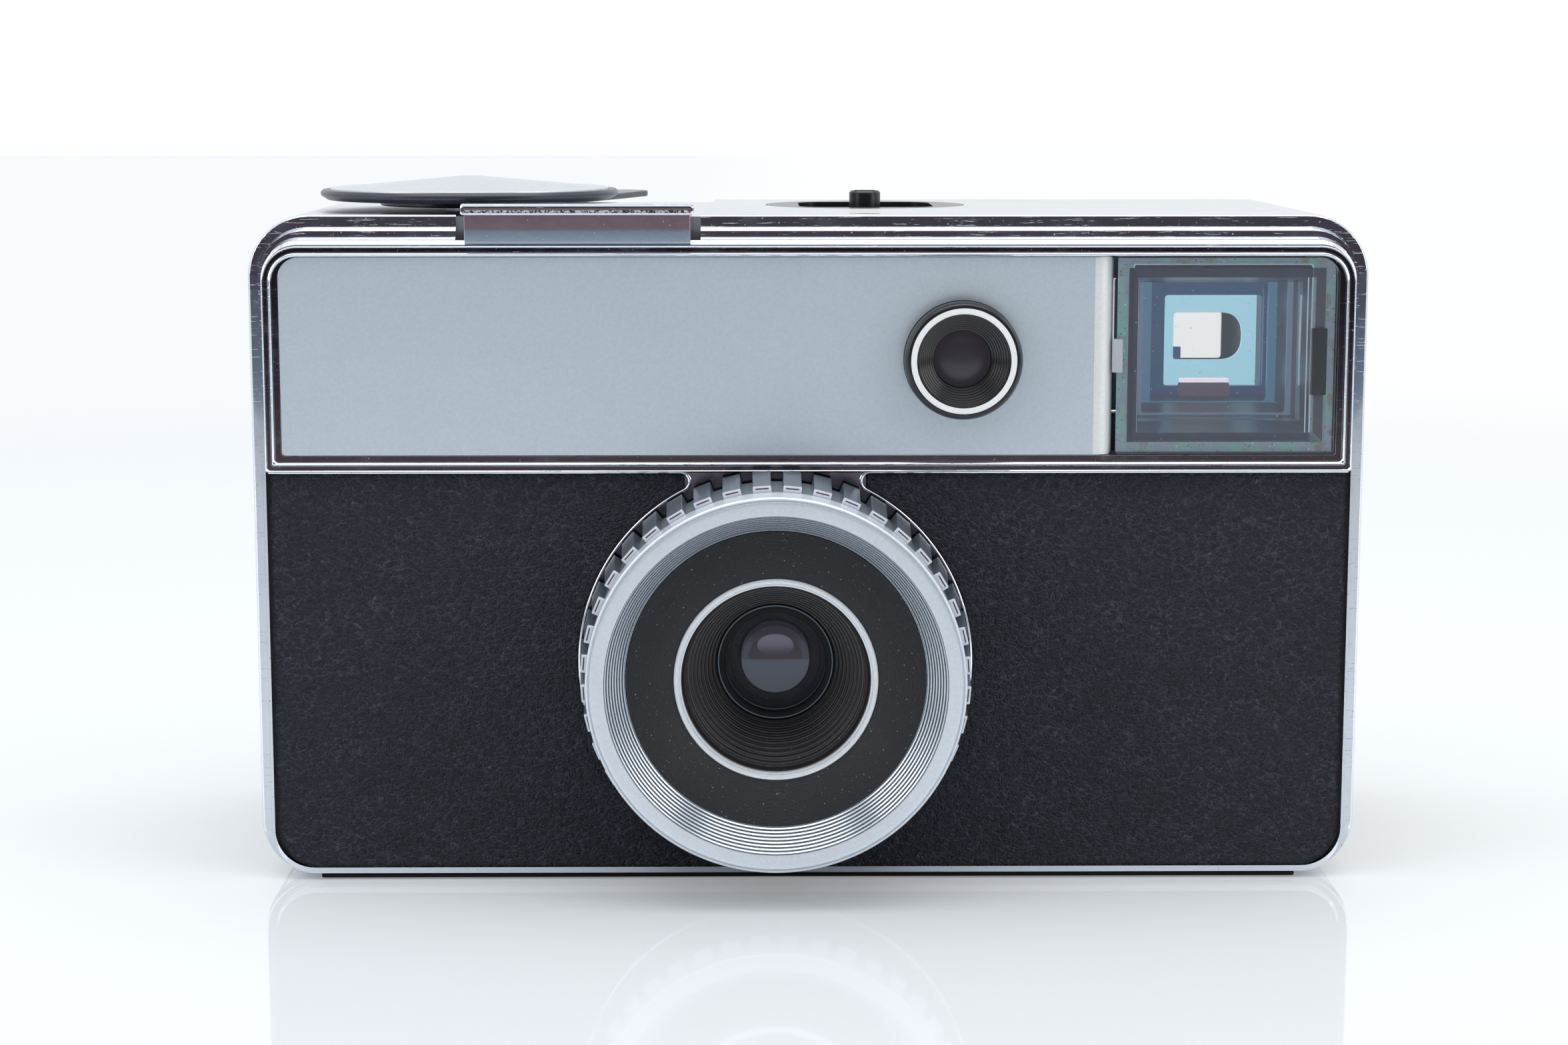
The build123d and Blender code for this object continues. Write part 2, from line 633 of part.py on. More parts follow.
# Moulded body with the film space, the dark box behind the lens and the mechanism pockets
with BuildPart() as body_shell:
    with BuildSketch(front_plane(RIM_BACK)):
        add(body_outline(0, 0, 0))
        add(box_outline(-HALF, HALF, 0, BASE_THICK), mode=Mode.SUBTRACT)
        add(box_outline(-HALF, HALF, BAND_SPLIT, BODY_HEIGHT), mode=Mode.SUBTRACT)
    extrude(amount=RIM_BACK - DOOR_SEAT)
    # Spool chambers on both sides and the shallow gate between them
    with BuildSketch(front_plane(DOOR_SEAT)):
        for side in (-1, 1):
            inner = LENS_X + side * (FILM_WIDTH / 2 - SPOOL_WIDTH)
            outer = LENS_X + side * FILM_WIDTH / 2
            add(box_outline(min(inner, outer), max(inner, outer), FILM_LOW, FILM_HIGH))
    extrude(amount=SPOOL_DEPTH, mode=Mode.SUBTRACT)
    with BuildSketch(front_plane(DOOR_SEAT)):
        add(box_outline(LENS_X - FILM_WIDTH / 2, LENS_X + FILM_WIDTH / 2, FILM_LOW, FILM_HIGH))
    extrude(amount=GATE_DEPTH, mode=Mode.SUBTRACT)
    # Light cone from the shutter to the gate
    with BuildSketch(front_plane(GATE_Y)):
        with Locations((LENS_X, LENS_Z)):
            Rectangle(GATE_SIZE, GATE_SIZE)
    with BuildSketch(front_plane(SHUTTER_BACK)):
        with Locations((LENS_X, LENS_Z)):
            Rectangle(CONE_SIZE, CONE_SIZE)
    loft(mode=Mode.SUBTRACT)
    # Round pocket for the shutter
    with BuildSketch(front_plane(RIM_BACK)):
        with Locations((LENS_X, LENS_Z)):
            Circle(SHUTTER_RADIUS + FREE_GAP)
    extrude(amount=RIM_BACK - SHUTTER_BACK, mode=Mode.SUBTRACT)
    # Pockets that lighten the front and the ends
    with BuildSketch(front_plane(RIM_BACK)):
        add(box_outline(-HALF + WALL, POCKET_LEFT, POCKET_LOW, FILM_HIGH))
        add(box_outline(POCKET_RIGHT, HALF - WALL, POCKET_LOW, FILM_HIGH))
    extrude(amount=RIM_BACK - POCKET_BACK, mode=Mode.SUBTRACT)
    with BuildSketch(front_plane(RIM_BACK)):
        add(box_outline(-HALF + WALL, LENS_X - FILM_WIDTH / 2 - WALL, POCKET_LOW, FILM_HIGH))
        add(box_outline(LENS_X + FILM_WIDTH / 2 + WALL, HALF - WALL, BATTERY_ROOF, FILM_HIGH))
    extrude(amount=RIM_BACK - DOOR_SEAT + WALL, mode=Mode.SUBTRACT)
    # Bores from below for the tripod socket and the battery
    with Locations(Location((0, 0, BASE_THICK), (180, 0, 0))):
        CounterBoreHole(SOCKET_RADIUS + SEAT_GAP, SOCKET_FLANGE + SEAT_GAP, FLANGE_THICK,
                        depth=SOCKET_HEIGHT - BASE_THICK + SEAT_GAP)
    with Locations(Location((BATTERY_X, BATTERY_Y, BASE_THICK), (180, 0, 0))):
        CounterBoreHole(BATTERY_RADIUS + FREE_GAP, COVER_RADIUS + SLIDE_GAP, COVER_THREAD,
                        depth=BATTERY_ROOF - WALL - BASE_THICK)
    # Bore for the film coupler
    with Locations((FILM_DRIVE_X, FILM_DRIVE_Y, BAND_SPLIT)):
        Hole(COUPLER_RADIUS + SEAT_GAP, depth=BAND_SPLIT - FILM_HIGH)
    # Slot for the door latch
    with BuildSketch(Plane.YZ.offset(HALF)):
        with Locations((LATCH_Y, LATCH_Z - LATCH_TRAVEL / 2)):
            Rectangle(LATCH_STEM + 2 * SLIDE_GAP, LATCH_HEIGHT / 2 + LATCH_TRAVEL + 2 * SLIDE_GAP)
    extrude(amount=-WALL, mode=Mode.SUBTRACT)
    # Slot for the catch of the back door
    with BuildSketch(front_plane(DOOR_SEAT)):
        add(box_outline(CATCH_X - CATCH_THICK / 2 - FREE_GAP, CATCH_X + CATCH_THICK / 2 + FREE_GAP,
                        LATCH_Z - CATCH_HEIGHT / 2 - FREE_GAP, LATCH_Z + CATCH_HEIGHT / 2 + FREE_GAP))
    extrude(amount=WALL, mode=Mode.SUBTRACT)
    # Rebate and knuckles for the back door's hinge
    with BuildSketch(Plane.XY.offset(BASE_THICK)):
        with Locations((HINGE_X, HINGE_Y)):
            Circle(HINGE_RADIUS + FREE_GAP)
    extrude(amount=BAND_SPLIT - BASE_THICK, mode=Mode.SUBTRACT)
    for knuckle in range(1, KNUCKLE_COUNT, 2):
        low = DOOR_LOW + knuckle * KNUCKLE_PITCH + FREE_GAP / 2
        with BuildSketch(Plane.XY.offset(low)):
            with Locations((HINGE_X, HINGE_Y)):
                Circle(HINGE_RADIUS)
            with Locations((HINGE_X, DOOR_SEAT - WALL)):
                Rectangle(HINGE_RADIUS, HINGE_Y - DOOR_SEAT + WALL, align=(Align.CENTER, Align.MIN))
        extrude(amount=KNUCKLE_PITCH - FREE_GAP)
    with Locations((HINGE_X, HINGE_Y, BAND_SPLIT)):
        Hole(HINGE_PIN + SEAT_GAP)
save(body_shell.part, "body_shell")

# ---------------------------------------------------------------- front face

# Bright double bead round the name plate and the finder window
with BuildPart() as name_plate_trim:
    with BuildSketch(front_plane(SKIN_BACK)):
        add(band_outline(SEAT_GAP))
        add(band_outline(SEAT_GAP + TRIM_WIDTH), mode=Mode.SUBTRACT)
    extrude(amount=SKIN + TRIM_PROUD - BEAD_HEIGHT)
    for inset in (0, TRIM_WIDTH - BEAD_WIDTH):
        with BuildSketch(front_plane(FACE_Y - TRIM_PROUD + BEAD_HEIGHT)):
            add(band_outline(SEAT_GAP + inset))
            add(band_outline(SEAT_GAP + inset + BEAD_WIDTH), mode=Mode.SUBTRACT)
        extrude(amount=BEAD_HEIGHT)
    front_edges = name_plate_trim.faces().sort_by(Axis.Y)[:2].edges()
    chamfer(front_edges, BEAD_EDGE)
save(name_plate_trim.part, "name_plate_trim")

# Satin name plate, left bare; its right-hand end rolls back beside the window
with BuildPart() as name_plate:
    with BuildSketch(front_plane(SKIN_BACK)):
        add(box_outline(PLATE_LEFT, PLATE_RIGHT, PLATE_LOW, PLATE_HIGH))
        with Locations((CELL_X, CELL_Z)):
            Circle(PHOTO_BODY + SEAT_GAP, mode=Mode.SUBTRACT)
    extrude(amount=SKIN + PLATE_PROUD)
    left_corner = name_plate.edges().filter_by(Axis.Y).group_by(Axis.X)[0].sort_by(Axis.Z)[-1]
    fillet(left_corner, PLATE_CORNER)
    with BuildSketch(front_plane(SKIN_BACK)):
        add(box_outline(PLATE_RIGHT - PLATE_RETURN, PLATE_RIGHT,
                        FINDER_LOW - FINDER_WALL, FINDER_HIGH + FINDER_WALL))
    extrude(amount=-PLATE_RETURN)
    fillet(name_plate.edges().filter_by(Axis.Z).group_by(Axis.X)[-1].sort_by(Axis.Y)[0], PLATE_ROLL)
save(name_plate.part, "name_plate")

# Leather panel, cut out round the lens base and its neck
with BuildPart() as front_leather:
    with BuildSketch(front_plane(SKIN_BACK)):
        add(body_outline(RIM_SIDE + FREE_GAP, RIM_TOP + FREE_GAP, RIM_BOTTOM + FREE_GAP))
        add(box_outline(-HALF, HALF, BAND_LOW, BODY_HEIGHT), mode=Mode.SUBTRACT)
        with Locations((LENS_X, LENS_Z)):
            Circle(BASE_RADIUS + SEAT_GAP, mode=Mode.SUBTRACT)
        add(box_outline(NECK_X - NECK_WIDTH / 2 - SEAT_GAP, NECK_X + NECK_WIDTH / 2 + SEAT_GAP,
                        LENS_Z, BAND_LOW), mode=Mode.SUBTRACT)
    extrude(amount=SKIN)
save(front_leather.part, "front_leather")

# Bright base of the lens, with a neck that reaches up to the trim and a raised edge line
with BuildPart() as lens_base:
    with BuildSketch(front_plane(SKIN_BACK)):
        with Locations((LENS_X, LENS_Z)):
            Circle(BASE_RADIUS)
        add(box_outline(NECK_X - NECK_WIDTH / 2, NECK_X + NECK_WIDTH / 2, LENS_Z, BAND_LOW - SEAT_GAP))
    extrude(amount=SKIN)
    with BuildSketch(front_plane(FACE_Y)):
        with Locations((LENS_X, LENS_Z)):
            Circle(BASE_RADIUS)
        add(box_outline(NECK_X - NECK_WIDTH / 2, NECK_X + NECK_WIDTH / 2, LENS_Z, BAND_LOW - SEAT_GAP))
        with Locations((LENS_X, LENS_Z)):
            Circle(BASE_RADIUS - EDGE_LINE, mode=Mode.SUBTRACT)
        add(box_outline(NECK_X - NECK_WIDTH / 2 + EDGE_LINE, NECK_X + NECK_WIDTH / 2 - EDGE_LINE,
                        LENS_Z, BAND_LOW), mode=Mode.SUBTRACT)
    extrude(amount=EDGE_LINE / 2)
    split(bisect_by=Plane.XY.offset(BAND_LOW - SEAT_GAP), keep=Keep.BOTTOM)
    with Locations(Location((LENS_X, SKIN_BACK, LENS_Z), (90, 0, 0))):
        Hole(BARREL_RADIUS + SEAT_GAP)
save(lens_base.part, "lens_base")

# Finder window: a clear pane with a raised border
with BuildPart() as viewfinder_window:
    with BuildSketch(front_plane(SKIN_BACK)):
        add(box_outline(WINDOW_LEFT, WINDOW_RIGHT, PLATE_LOW, PLATE_HIGH))
    extrude(amount=SKIN)
    right_corner = viewfinder_window.edges().filter_by(Axis.Y).group_by(Axis.X)[-1].sort_by(Axis.Z)[-1]
    fillet(right_corner, PLATE_CORNER)
    with BuildSketch(front_plane(FACE_Y)):
        add(box_outline(WINDOW_LEFT + WINDOW_BORDER, WINDOW_RIGHT - WINDOW_BORDER,
                        PLATE_LOW + WINDOW_BORDER, PLATE_HIGH - WINDOW_BORDER))
    extrude(amount=PLATE_PROUD, taper=WINDOW_TAPER)
save(viewfinder_window.part, "viewfinder_window")

# Finder tube, from the window back to the eyepiece
with BuildPart() as viewfinder_tube:
    with BuildSketch(front_plane(SKIN_BACK)):
        add(box_outline(FINDER_LEFT, FINDER_RIGHT, FINDER_LOW, FINDER_HIGH))
    with BuildSketch(front_plane(FINDER_BACK)):
        with Locations((FINDER_X, FINDER_Z)):
            Rectangle(EYEPIECE_WIDTH, EYEPIECE_HEIGHT)
    loft()
    ends = viewfinder_tube.faces().sort_by(Axis.Y)
    offset(amount=-FINDER_WALL, openings=[ends[0], ends[-1]])
save(viewfinder_tube.part, "viewfinder_tube")

# Finder lenses: the front lens, the mask behind it and the eyepiece
with BuildPart() as viewfinder_front_lens:
    with BuildSketch(front_plane(FRONT_LENS_Y)):
        add(finder_section(FRONT_LENS_Y, FINDER_WALL + FINDER_SEAT))
    extrude(amount=FINDER_LENS)
    # Hollow front face, as on a diminishing lens
    with Locations((FINDER_X, FRONT_LENS_Y - FINDER_LENS - FINDER_CURVE + FINDER_HOLLOW, FINDER_Z)):
        Sphere(FINDER_CURVE, mode=Mode.SUBTRACT)
save(viewfinder_front_lens.part, "viewfinder_front_lens")

with BuildPart() as viewfinder_mask:
    with BuildSketch(front_plane(MASK_Y)):
        add(finder_section(MASK_Y, FINDER_WALL + FINDER_SEAT))
        add(finder_section(MASK_Y, FINDER_WALL + MASK_BORDER), mode=Mode.SUBTRACT)
    extrude(amount=FINDER_WALL)
save(viewfinder_mask.part, "viewfinder_mask")

with BuildPart() as viewfinder_eyepiece:
    with BuildSketch(front_plane(BACK_Y)):
        with Locations((FINDER_X, FINDER_Z)):
            Rectangle(EYEPIECE_WIDTH, EYEPIECE_HEIGHT)
    extrude(amount=BACK_Y - FINDER_BACK)
    with Locations((FINDER_X, BACK_Y - EYE_HOLLOW + EYE_CURVE, FINDER_Z)):
        Sphere(EYE_CURVE, mode=Mode.SUBTRACT)
save(viewfinder_eyepiece.part, "viewfinder_eyepiece")

# ---------------------------------------------------------------- photocell and circuit

PHOTO_SECTION = Plane(origin=(CELL_X, FACE_Y, CELL_Z), x_dir=(1, 0, 0), z_dir=(0, 0, 1))
PHOTO_AXIS = Axis((CELL_X, 0, CELL_Z), (0, 1, 0))

with BuildPart() as photocell_bezel:
    with BuildSketch(PHOTO_SECTION):
        add(turned_outline([(PHOTO_RADIUS, -PLATE_PROUD), (PHOTO_RADIUS, -PHOTO_PROUD + PHOTO_EDGE),
                            (PHOTO_RADIUS - PHOTO_EDGE, -PHOTO_PROUD),
                            (PHOTO_RING + SEAT_GAP, -PHOTO_PROUD),
                            (PHOTO_RING + SEAT_GAP, -PHOTO_PROUD + PHOTO_SEAT),
                            (PHOTO_RING - PHOTO_RING_WIDTH, -PHOTO_PROUD + PHOTO_SEAT)]
                           + steps((PHOTO_RING - PHOTO_RING_WIDTH, -PHOTO_PROUD + PHOTO_SEAT),
                                   (PHOTO_GLASS + SEAT_GAP, PHOTO_SEAT), PHOTO_STEPS)[1:]
                           + [(PHOTO_GLASS + SEAT_GAP, PHOTO_GLASS_BACK),
                              (PHOTO_GLASS - PHOTO_LIP, PHOTO_GLASS_BACK),
                              (PHOTO_GLASS - PHOTO_LIP, PHOTO_BACK),
                              (PHOTO_BODY, PHOTO_BACK), (PHOTO_BODY, -PLATE_PROUD)]))
    revolve(axis=PHOTO_AXIS)
save(photocell_bezel.part, "photocell_bezel")

with BuildPart() as photocell_ring:
    with BuildSketch(front_plane(FACE_Y - PHOTO_PROUD + PHOTO_SEAT)):
        with Locations((CELL_X, CELL_Z)):
            Circle(PHOTO_RING)
            Circle(PHOTO_RING - PHOTO_RING_WIDTH, mode=Mode.SUBTRACT)
    extrude(amount=PHOTO_SEAT)
save(photocell_ring.part, "photocell_ring")

with BuildPart() as photocell_glass:
    with BuildSketch(front_plane(FACE_Y + PHOTO_GLASS_BACK)):
        with Locations((CELL_X, CELL_Z)):
            Circle(PHOTO_GLASS)
    extrude(amount=PHOTO_GLASS_BACK - PHOTO_SEAT)
    with BuildSketch(front_plane(FACE_Y + PHOTO_SEAT)):
        with Locations((CELL_X, CELL_Z)):
            Circle(PHOTO_GLASS)
    extrude(amount=PHOTO_DOME, taper=DOME_TAPER)
save(photocell_glass.part, "photocell_glass")

with BuildPart() as photocell:
    with BuildSketch(front_plane(FACE_Y + PHOTO_BACK + PHOTO_CAN)):
        with Locations((CELL_X, CELL_Z)):
            Circle(PHOTO_BODY)
    extrude(amount=PHOTO_CAN)
save(photocell.part, "photocell")

with BuildPart() as circuit_board:
    with BuildSketch(front_plane(BOARD_Y + BOARD_THICK)):
        add(box_outline(BOARD_LEFT, BOARD_LEFT + BOARD_WIDTH, BOARD_LOW, BOARD_HIGH, BOARD_CORNER))
    extrude(amount=BOARD_THICK)
    # Resistors, a capacitor and a timing transistor on the back of the board
    with BuildSketch(front_plane(BOARD_Y + BOARD_THICK)):
        with GridLocations(BOARD_PITCH, BOARD_PITCH, 3, 2):
            with Locations((BOARD_X, BOARD_Z)):
                Rectangle(2 * COMPONENT, COMPONENT)
    extrude(amount=-COMPONENT)
save(circuit_board.part, "circuit_board")

# ---------------------------------------------------------------- focusing ring and lens cell

# Knurled ring that the fingers turn, its ridges a little taller towards the body
with BuildPart() as focus_ring:
    with BuildSketch(lens_plane(FACE_Y - KNURL_BACK)):
        Circle(KNURL_RADIUS - KNURL_DEPTH)
        with PolarLocations(KNURL_RADIUS - KNURL_DEPTH, KNURL_COUNT):
            Rectangle(2 * (KNURL_DEPTH + KNURL_TAPER), RIDGE_WIDTH)
        Circle(BARREL_RADIUS + RUN_GAP, mode=Mode.SUBTRACT)
    extrude(amount=KNURL_FRONT - KNURL_BACK)
    with BuildSketch(LENS_SECTION):
        add(turned_outline([(0, -KNURL_FRONT), (KNURL_RADIUS, -KNURL_FRONT),
                            (KNURL_RADIUS + KNURL_TAPER, -KNURL_BACK), (0, -KNURL_BACK)]))
    revolve(axis=LENS_AXIS, mode=Mode.INTERSECT)
save(focus_ring.part, "focus_ring")

# Bright front ring with its plain rim and the fine grooves that fall to the black annulus
with BuildPart() as front_ring:
    with BuildSketch(LENS_SECTION):
        add(turned_outline([(RING_RADIUS, -KNURL_FRONT), (RING_RADIUS, -RING_FACE + RING_EDGE),
                            (RING_RADIUS - RING_EDGE / 2, -RING_FACE)]
                           + steps((RING_RADIUS - RING_RIM, -RING_FACE),
                                   (ANNULUS_RADIUS + SEAT_GAP, -ANNULUS_FACE), GROOVE_COUNT)
                           + [(ANNULUS_RADIUS + SEAT_GAP, -ANNULUS_FACE + ANNULUS_THICK),
                              (ANNULUS_RADIUS - RING_LEDGE, -ANNULUS_FACE + ANNULUS_THICK),
                              (ANNULUS_RADIUS - RING_LEDGE, -SPIGOT_BACK),
                              (BARREL_RADIUS, -SPIGOT_BACK), (BARREL_RADIUS, -KNURL_FRONT)]))
    revolve(axis=LENS_AXIS)
save(front_ring.part, "front_ring")

with BuildPart() as front_annulus:
    with BuildSketch(lens_plane(FACE_Y - ANNULUS_FACE + ANNULUS_THICK)):
        Circle(ANNULUS_RADIUS)
        Circle(BRIGHT_RADIUS + SEAT_GAP, mode=Mode.SUBTRACT)
    extrude(amount=ANNULUS_THICK)
save(front_annulus.part, "front_annulus")

with BuildPart() as bright_ring:
    with BuildSketch(lens_plane(FACE_Y - ANNULUS_FACE + BRIGHT_SEAT)):
        Circle(BRIGHT_RADIUS)
        Circle(BRIGHT_RADIUS - BRIGHT_WIDTH, mode=Mode.SUBTRACT)
    extrude(amount=BRIGHT_SEAT + BRIGHT_PROUD)
    chamfer(bright_ring.faces().sort_by(Axis.Y)[0].edges(), BRIGHT_PROUD)
save(bright_ring.part, "bright_ring")

# Black stepped hood between the annulus and the glass
with BuildPart() as lens_hood:
    with BuildSketch(LENS_SECTION):
        add(turned_outline(steps((HOOD_MOUTH, -ANNULUS_FACE + BRIGHT_SEAT),
                                 (CELL_RADIUS + HOOD_GAP, -CELL_SETBACK), HOOD_STEPS)
                           + [(CELL_RADIUS + HOOD_GAP + HOOD_WALL, -CELL_SETBACK),
                              (BRIGHT_RADIUS, -ANNULUS_FACE + ANNULUS_THICK + HOOD_FLANGE),
                              (ANNULUS_RADIUS - RING_LEDGE - SEAT_GAP,
                               -ANNULUS_FACE + ANNULUS_THICK + HOOD_FLANGE),
                              (ANNULUS_RADIUS - RING_LEDGE - SEAT_GAP, -ANNULUS_FACE + ANNULUS_THICK),
                              (BRIGHT_RADIUS, -ANNULUS_FACE + ANNULUS_THICK),
                              (BRIGHT_RADIUS, -ANNULUS_FACE + BRIGHT_SEAT)]))
    revolve(axis=LENS_AXIS)
save(lens_hood.part, "lens_hood")

# Cell that holds the front lens and slides in the guide of the shutter housing
with BuildPart() as lens_cell:
    with BuildSketch(LENS_SECTION):
        add(turned_outline([(CELL_RADIUS, CELL_LENGTH - CELL_SETBACK),
                            (CELL_RADIUS, -CELL_SETBACK + CELL_EDGE),
                            (CELL_RADIUS - CELL_EDGE, -CELL_SETBACK),
                            (GLASS_RADIUS + SEAT_GAP, -CELL_SETBACK),
                            (GLASS_RADIUS + SEAT_GAP, GLASS_THICK - CELL_SETBACK + CELL_EDGE),
                            (CELL_STOP, GLASS_THICK - CELL_SETBACK + CELL_EDGE),
                            (CELL_STOP, CELL_LENGTH - CELL_SETBACK)]))
    revolve(axis=LENS_AXIS)
save(lens_cell.part, "lens_cell")

GLASS_SAG = GLASS_CURVE - sqrt(GLASS_CURVE ** 2 - GLASS_RADIUS ** 2)
with BuildPart() as front_lens:
    with BuildSketch(LENS_SECTION):
        with BuildLine():
            glass_front = CELL_EDGE - CELL_SETBACK
            glass_back = CELL_EDGE - CELL_SETBACK + GLASS_THICK
            RadiusArc((0, glass_front), (GLASS_RADIUS, glass_front + GLASS_SAG), -GLASS_CURVE)
            Line((GLASS_RADIUS, glass_front + GLASS_SAG), (GLASS_RADIUS, glass_back))
            Line((GLASS_RADIUS, glass_back), (0, glass_back))
            Line((0, glass_back), (0, glass_front))
        make_face()
    revolve(axis=LENS_AXIS)
save(front_lens.part, "front_lens")

# ---------------------------------------------------------------- shutter and lens barrel

with BuildPart() as lens_barrel:
    with BuildSketch(LENS_SECTION):
        flange_front = RIM_BACK - FACE_Y
        add(turned_outline([(SHUTTER_RADIUS, flange_front), (SHUTTER_RADIUS, flange_front + BARREL_FLANGE),
                            (BARREL_RADIUS - BARREL_WALL, flange_front + BARREL_FLANGE),
                            (BARREL_RADIUS - BARREL_WALL, -BARREL_LENGTH),
                            (BARREL_RADIUS, -BARREL_LENGTH), (BARREL_RADIUS, flange_front)]))
    revolve(axis=LENS_AXIS)
save(lens_barrel.part, "lens_barrel")

with BuildPart() as shutter_plate:
    with BuildSketch(LENS_SECTION):
        rim_front = RIM_BACK - FACE_Y + BARREL_FLANGE
        add(turned_outline([(CELL_STOP, SHUTTER_FACE + SHUTTER_PLATE),
                            (SHUTTER_RADIUS - SHUTTER_RIM, SHUTTER_FACE + SHUTTER_PLATE),
                            (SHUTTER_RADIUS - SHUTTER_RIM, SHUTTER_FACE + SHUTTER_PLATE + BLADE_SPACE),
                            (SHUTTER_RADIUS, SHUTTER_FACE + SHUTTER_PLATE + BLADE_SPACE),
                            (SHUTTER_RADIUS, rim_front), (SHUTTER_RADIUS - SHUTTER_RIM, rim_front),
                            (SHUTTER_RADIUS - SHUTTER_RIM, SHUTTER_FACE),
                            (CELL_RADIUS + RUN_GAP + GUIDE_WALL, SHUTTER_FACE),
                            (CELL_RADIUS + RUN_GAP + GUIDE_WALL, GUIDE_FRONT),
                            (CELL_RADIUS + RUN_GAP, GUIDE_FRONT), (CELL_RADIUS + RUN_GAP, SHUTTER_FACE),
                            (CELL_STOP, SHUTTER_FACE)]))
    revolve(axis=LENS_AXIS)
    # Pivot pins for the two blades
    with BuildSketch(lens_plane(SHUTTER_Y + SHUTTER_PLATE)):
        with Locations((-BLADE_ARM, 0), (BLADE_ARM, 0)):
            Circle(PIVOT_RADIUS)
    extrude(amount=-BLADE_SPACE)
save(shutter_plate.part, "shutter_plate")

with BuildPart() as aperture_plate:
    with BuildSketch(lens_plane(SHUTTER_BACK)):
        Circle(SHUTTER_RADIUS)
        Circle(APERTURE_RADIUS, mode=Mode.SUBTRACT)
    extrude(amount=SHUTTER_PLATE)
save(aperture_plate.part, "aperture_plate")

# Two blades that cover the opening at rest and swing apart
for name, side, layer in (("shutter_blade_left", -1, 0), ("shutter_blade_right", 1, 1)):
    blade_front = SHUTTER_Y + SHUTTER_PLATE + BLADE_GAP + layer * (BLADE_THICK + BLADE_GAP)
    with BuildPart() as shutter_blade:
        with BuildSketch(lens_plane(blade_front + BLADE_THICK)):
            Circle(BLADE_RADIUS)
            with Locations((side * BLADE_ARM, 0)):
                Circle(2.5 * PIVOT_RADIUS)
            with Locations((side * BLADE_ARM / 2, 0)):
                Rectangle(BLADE_ARM, 3 * PIVOT_RADIUS)
            with Locations((side * BLADE_ARM, 0)):
                Circle(PIVOT_RADIUS + SEAT_GAP, mode=Mode.SUBTRACT)
        extrude(amount=BLADE_THICK)
    save(shutter_blade.part, name)

with BuildPart() as shutter_magnet:
    with BuildSketch(front_plane(POCKET_BACK)):
        with Locations((MAGNET_X, LENS_Z)):
            RectangleRounded(MAGNET_SIZE, MAGNET_HEIGHT, MAGNET_SIZE / 5)
    extrude(amount=MAGNET_SIZE)
save(shutter_magnet.part, "shutter_magnet")

with BuildPart() as rear_lens:
    with BuildSketch(LENS_SECTION):
        add(turned_outline([(0, REAR_LENS_FRONT), (REAR_LENS_RADIUS, REAR_LENS_FRONT),
                            (REAR_LENS_RADIUS, REAR_LENS_FRONT + REAR_LENS_THICK),
                            (0, REAR_LENS_FRONT + REAR_LENS_THICK)]))
    revolve(axis=LENS_AXIS)
save(rear_lens.part, "rear_lens")

with BuildPart() as film_gate:
    with BuildSketch(front_plane(GATE_Y + GATE_THICK)):
        with Locations((LENS_X, LENS_Z)):
            Rectangle(GATE_SIZE + 2 * GATE_BORDER, FILM_HEIGHT - 2 * SEAT_GAP)
            Rectangle(GATE_SIZE, GATE_SIZE, mode=Mode.SUBTRACT)
    extrude(amount=GATE_THICK)
save(film_gate.part, "film_gate")

# ---------------------------------------------------------------- release key

with BuildPart() as release_key:
    with BuildSketch(Plane.XY.offset(BODY_HEIGHT)):
        add(box_outline(KEY_LEFT - KEY_FLANGE, KEY_RIGHT + KEY_FLANGE, KEY_FRONT, KEY_BACK))
    extrude(amount=KEY_TOP - BODY_HEIGHT)
    fillet(release_key.edges().filter_by(Axis.X).group_by(Axis.Z)[-1].sort_by(Axis.Y)[0], KEY_ROLL)
    with BuildSketch(front_plane(KEY_FRONT + KEY_SHEET)):
        add(box_outline(KEY_LEFT, KEY_RIGHT, KEY_LOW, BODY_HEIGHT))
    extrude(amount=KEY_SHEET)
    with BuildSketch(Plane.XY.offset(STEM_LOW)):
        with Locations((STEM_X, RIM_BACK - STEM_BACK - STEM_THICK / 2)):
            Rectangle(STEM_WIDTH, STEM_THICK)
    extrude(amount=BODY_HEIGHT - STEM_LOW)
save(release_key.part, "release_key")

with BuildPart() as release_spring:
    with BuildLine():
        spring_line = Helix(pitch=(SPRING_LENGTH - 2 * SPRING_WIRE) / SPRING_TURNS,
                            height=SPRING_LENGTH - 2 * SPRING_WIRE, radius=SPRING_RADIUS - SPRING_WIRE,
                            center=(STEM_X, RIM_BACK - STEM_BACK - STEM_THICK / 2,
                                    STEM_LOW - SPRING_LENGTH + SPRING_WIRE))
    with BuildSketch(Plane(origin=spring_line @ 0, z_dir=spring_line % 0)):
        Circle(SPRING_WIRE)
    sweep()
save(release_spring.part, "release_spring")

# ---------------------------------------------------------------- winding lever and gear train

with BuildPart() as wind_disc:
    with BuildSketch(Plane.XY.offset(WIND_LOW)):
        with Locations((WIND_X, WIND_Y)):
            Circle(WIND_RADIUS)
    extrude(amount=WIND_RIM)
    fillet(wind_disc.edges().filter_by(GeomType.CIRCLE), WIND_RIM / 4)
save(wind_disc.part, "wind_disc")

with BuildPart() as wind_cap:
    with Locations((WIND_X, WIND_Y, WIND_LOW + WIND_RIM)):
        Cone(WIND_RADIUS - CAP_INSET, CAP_TOP, WIND_CROWN, align=(Align.CENTER, Align.CENTER, Align.MIN))
save(wind_cap.part, "wind_cap")

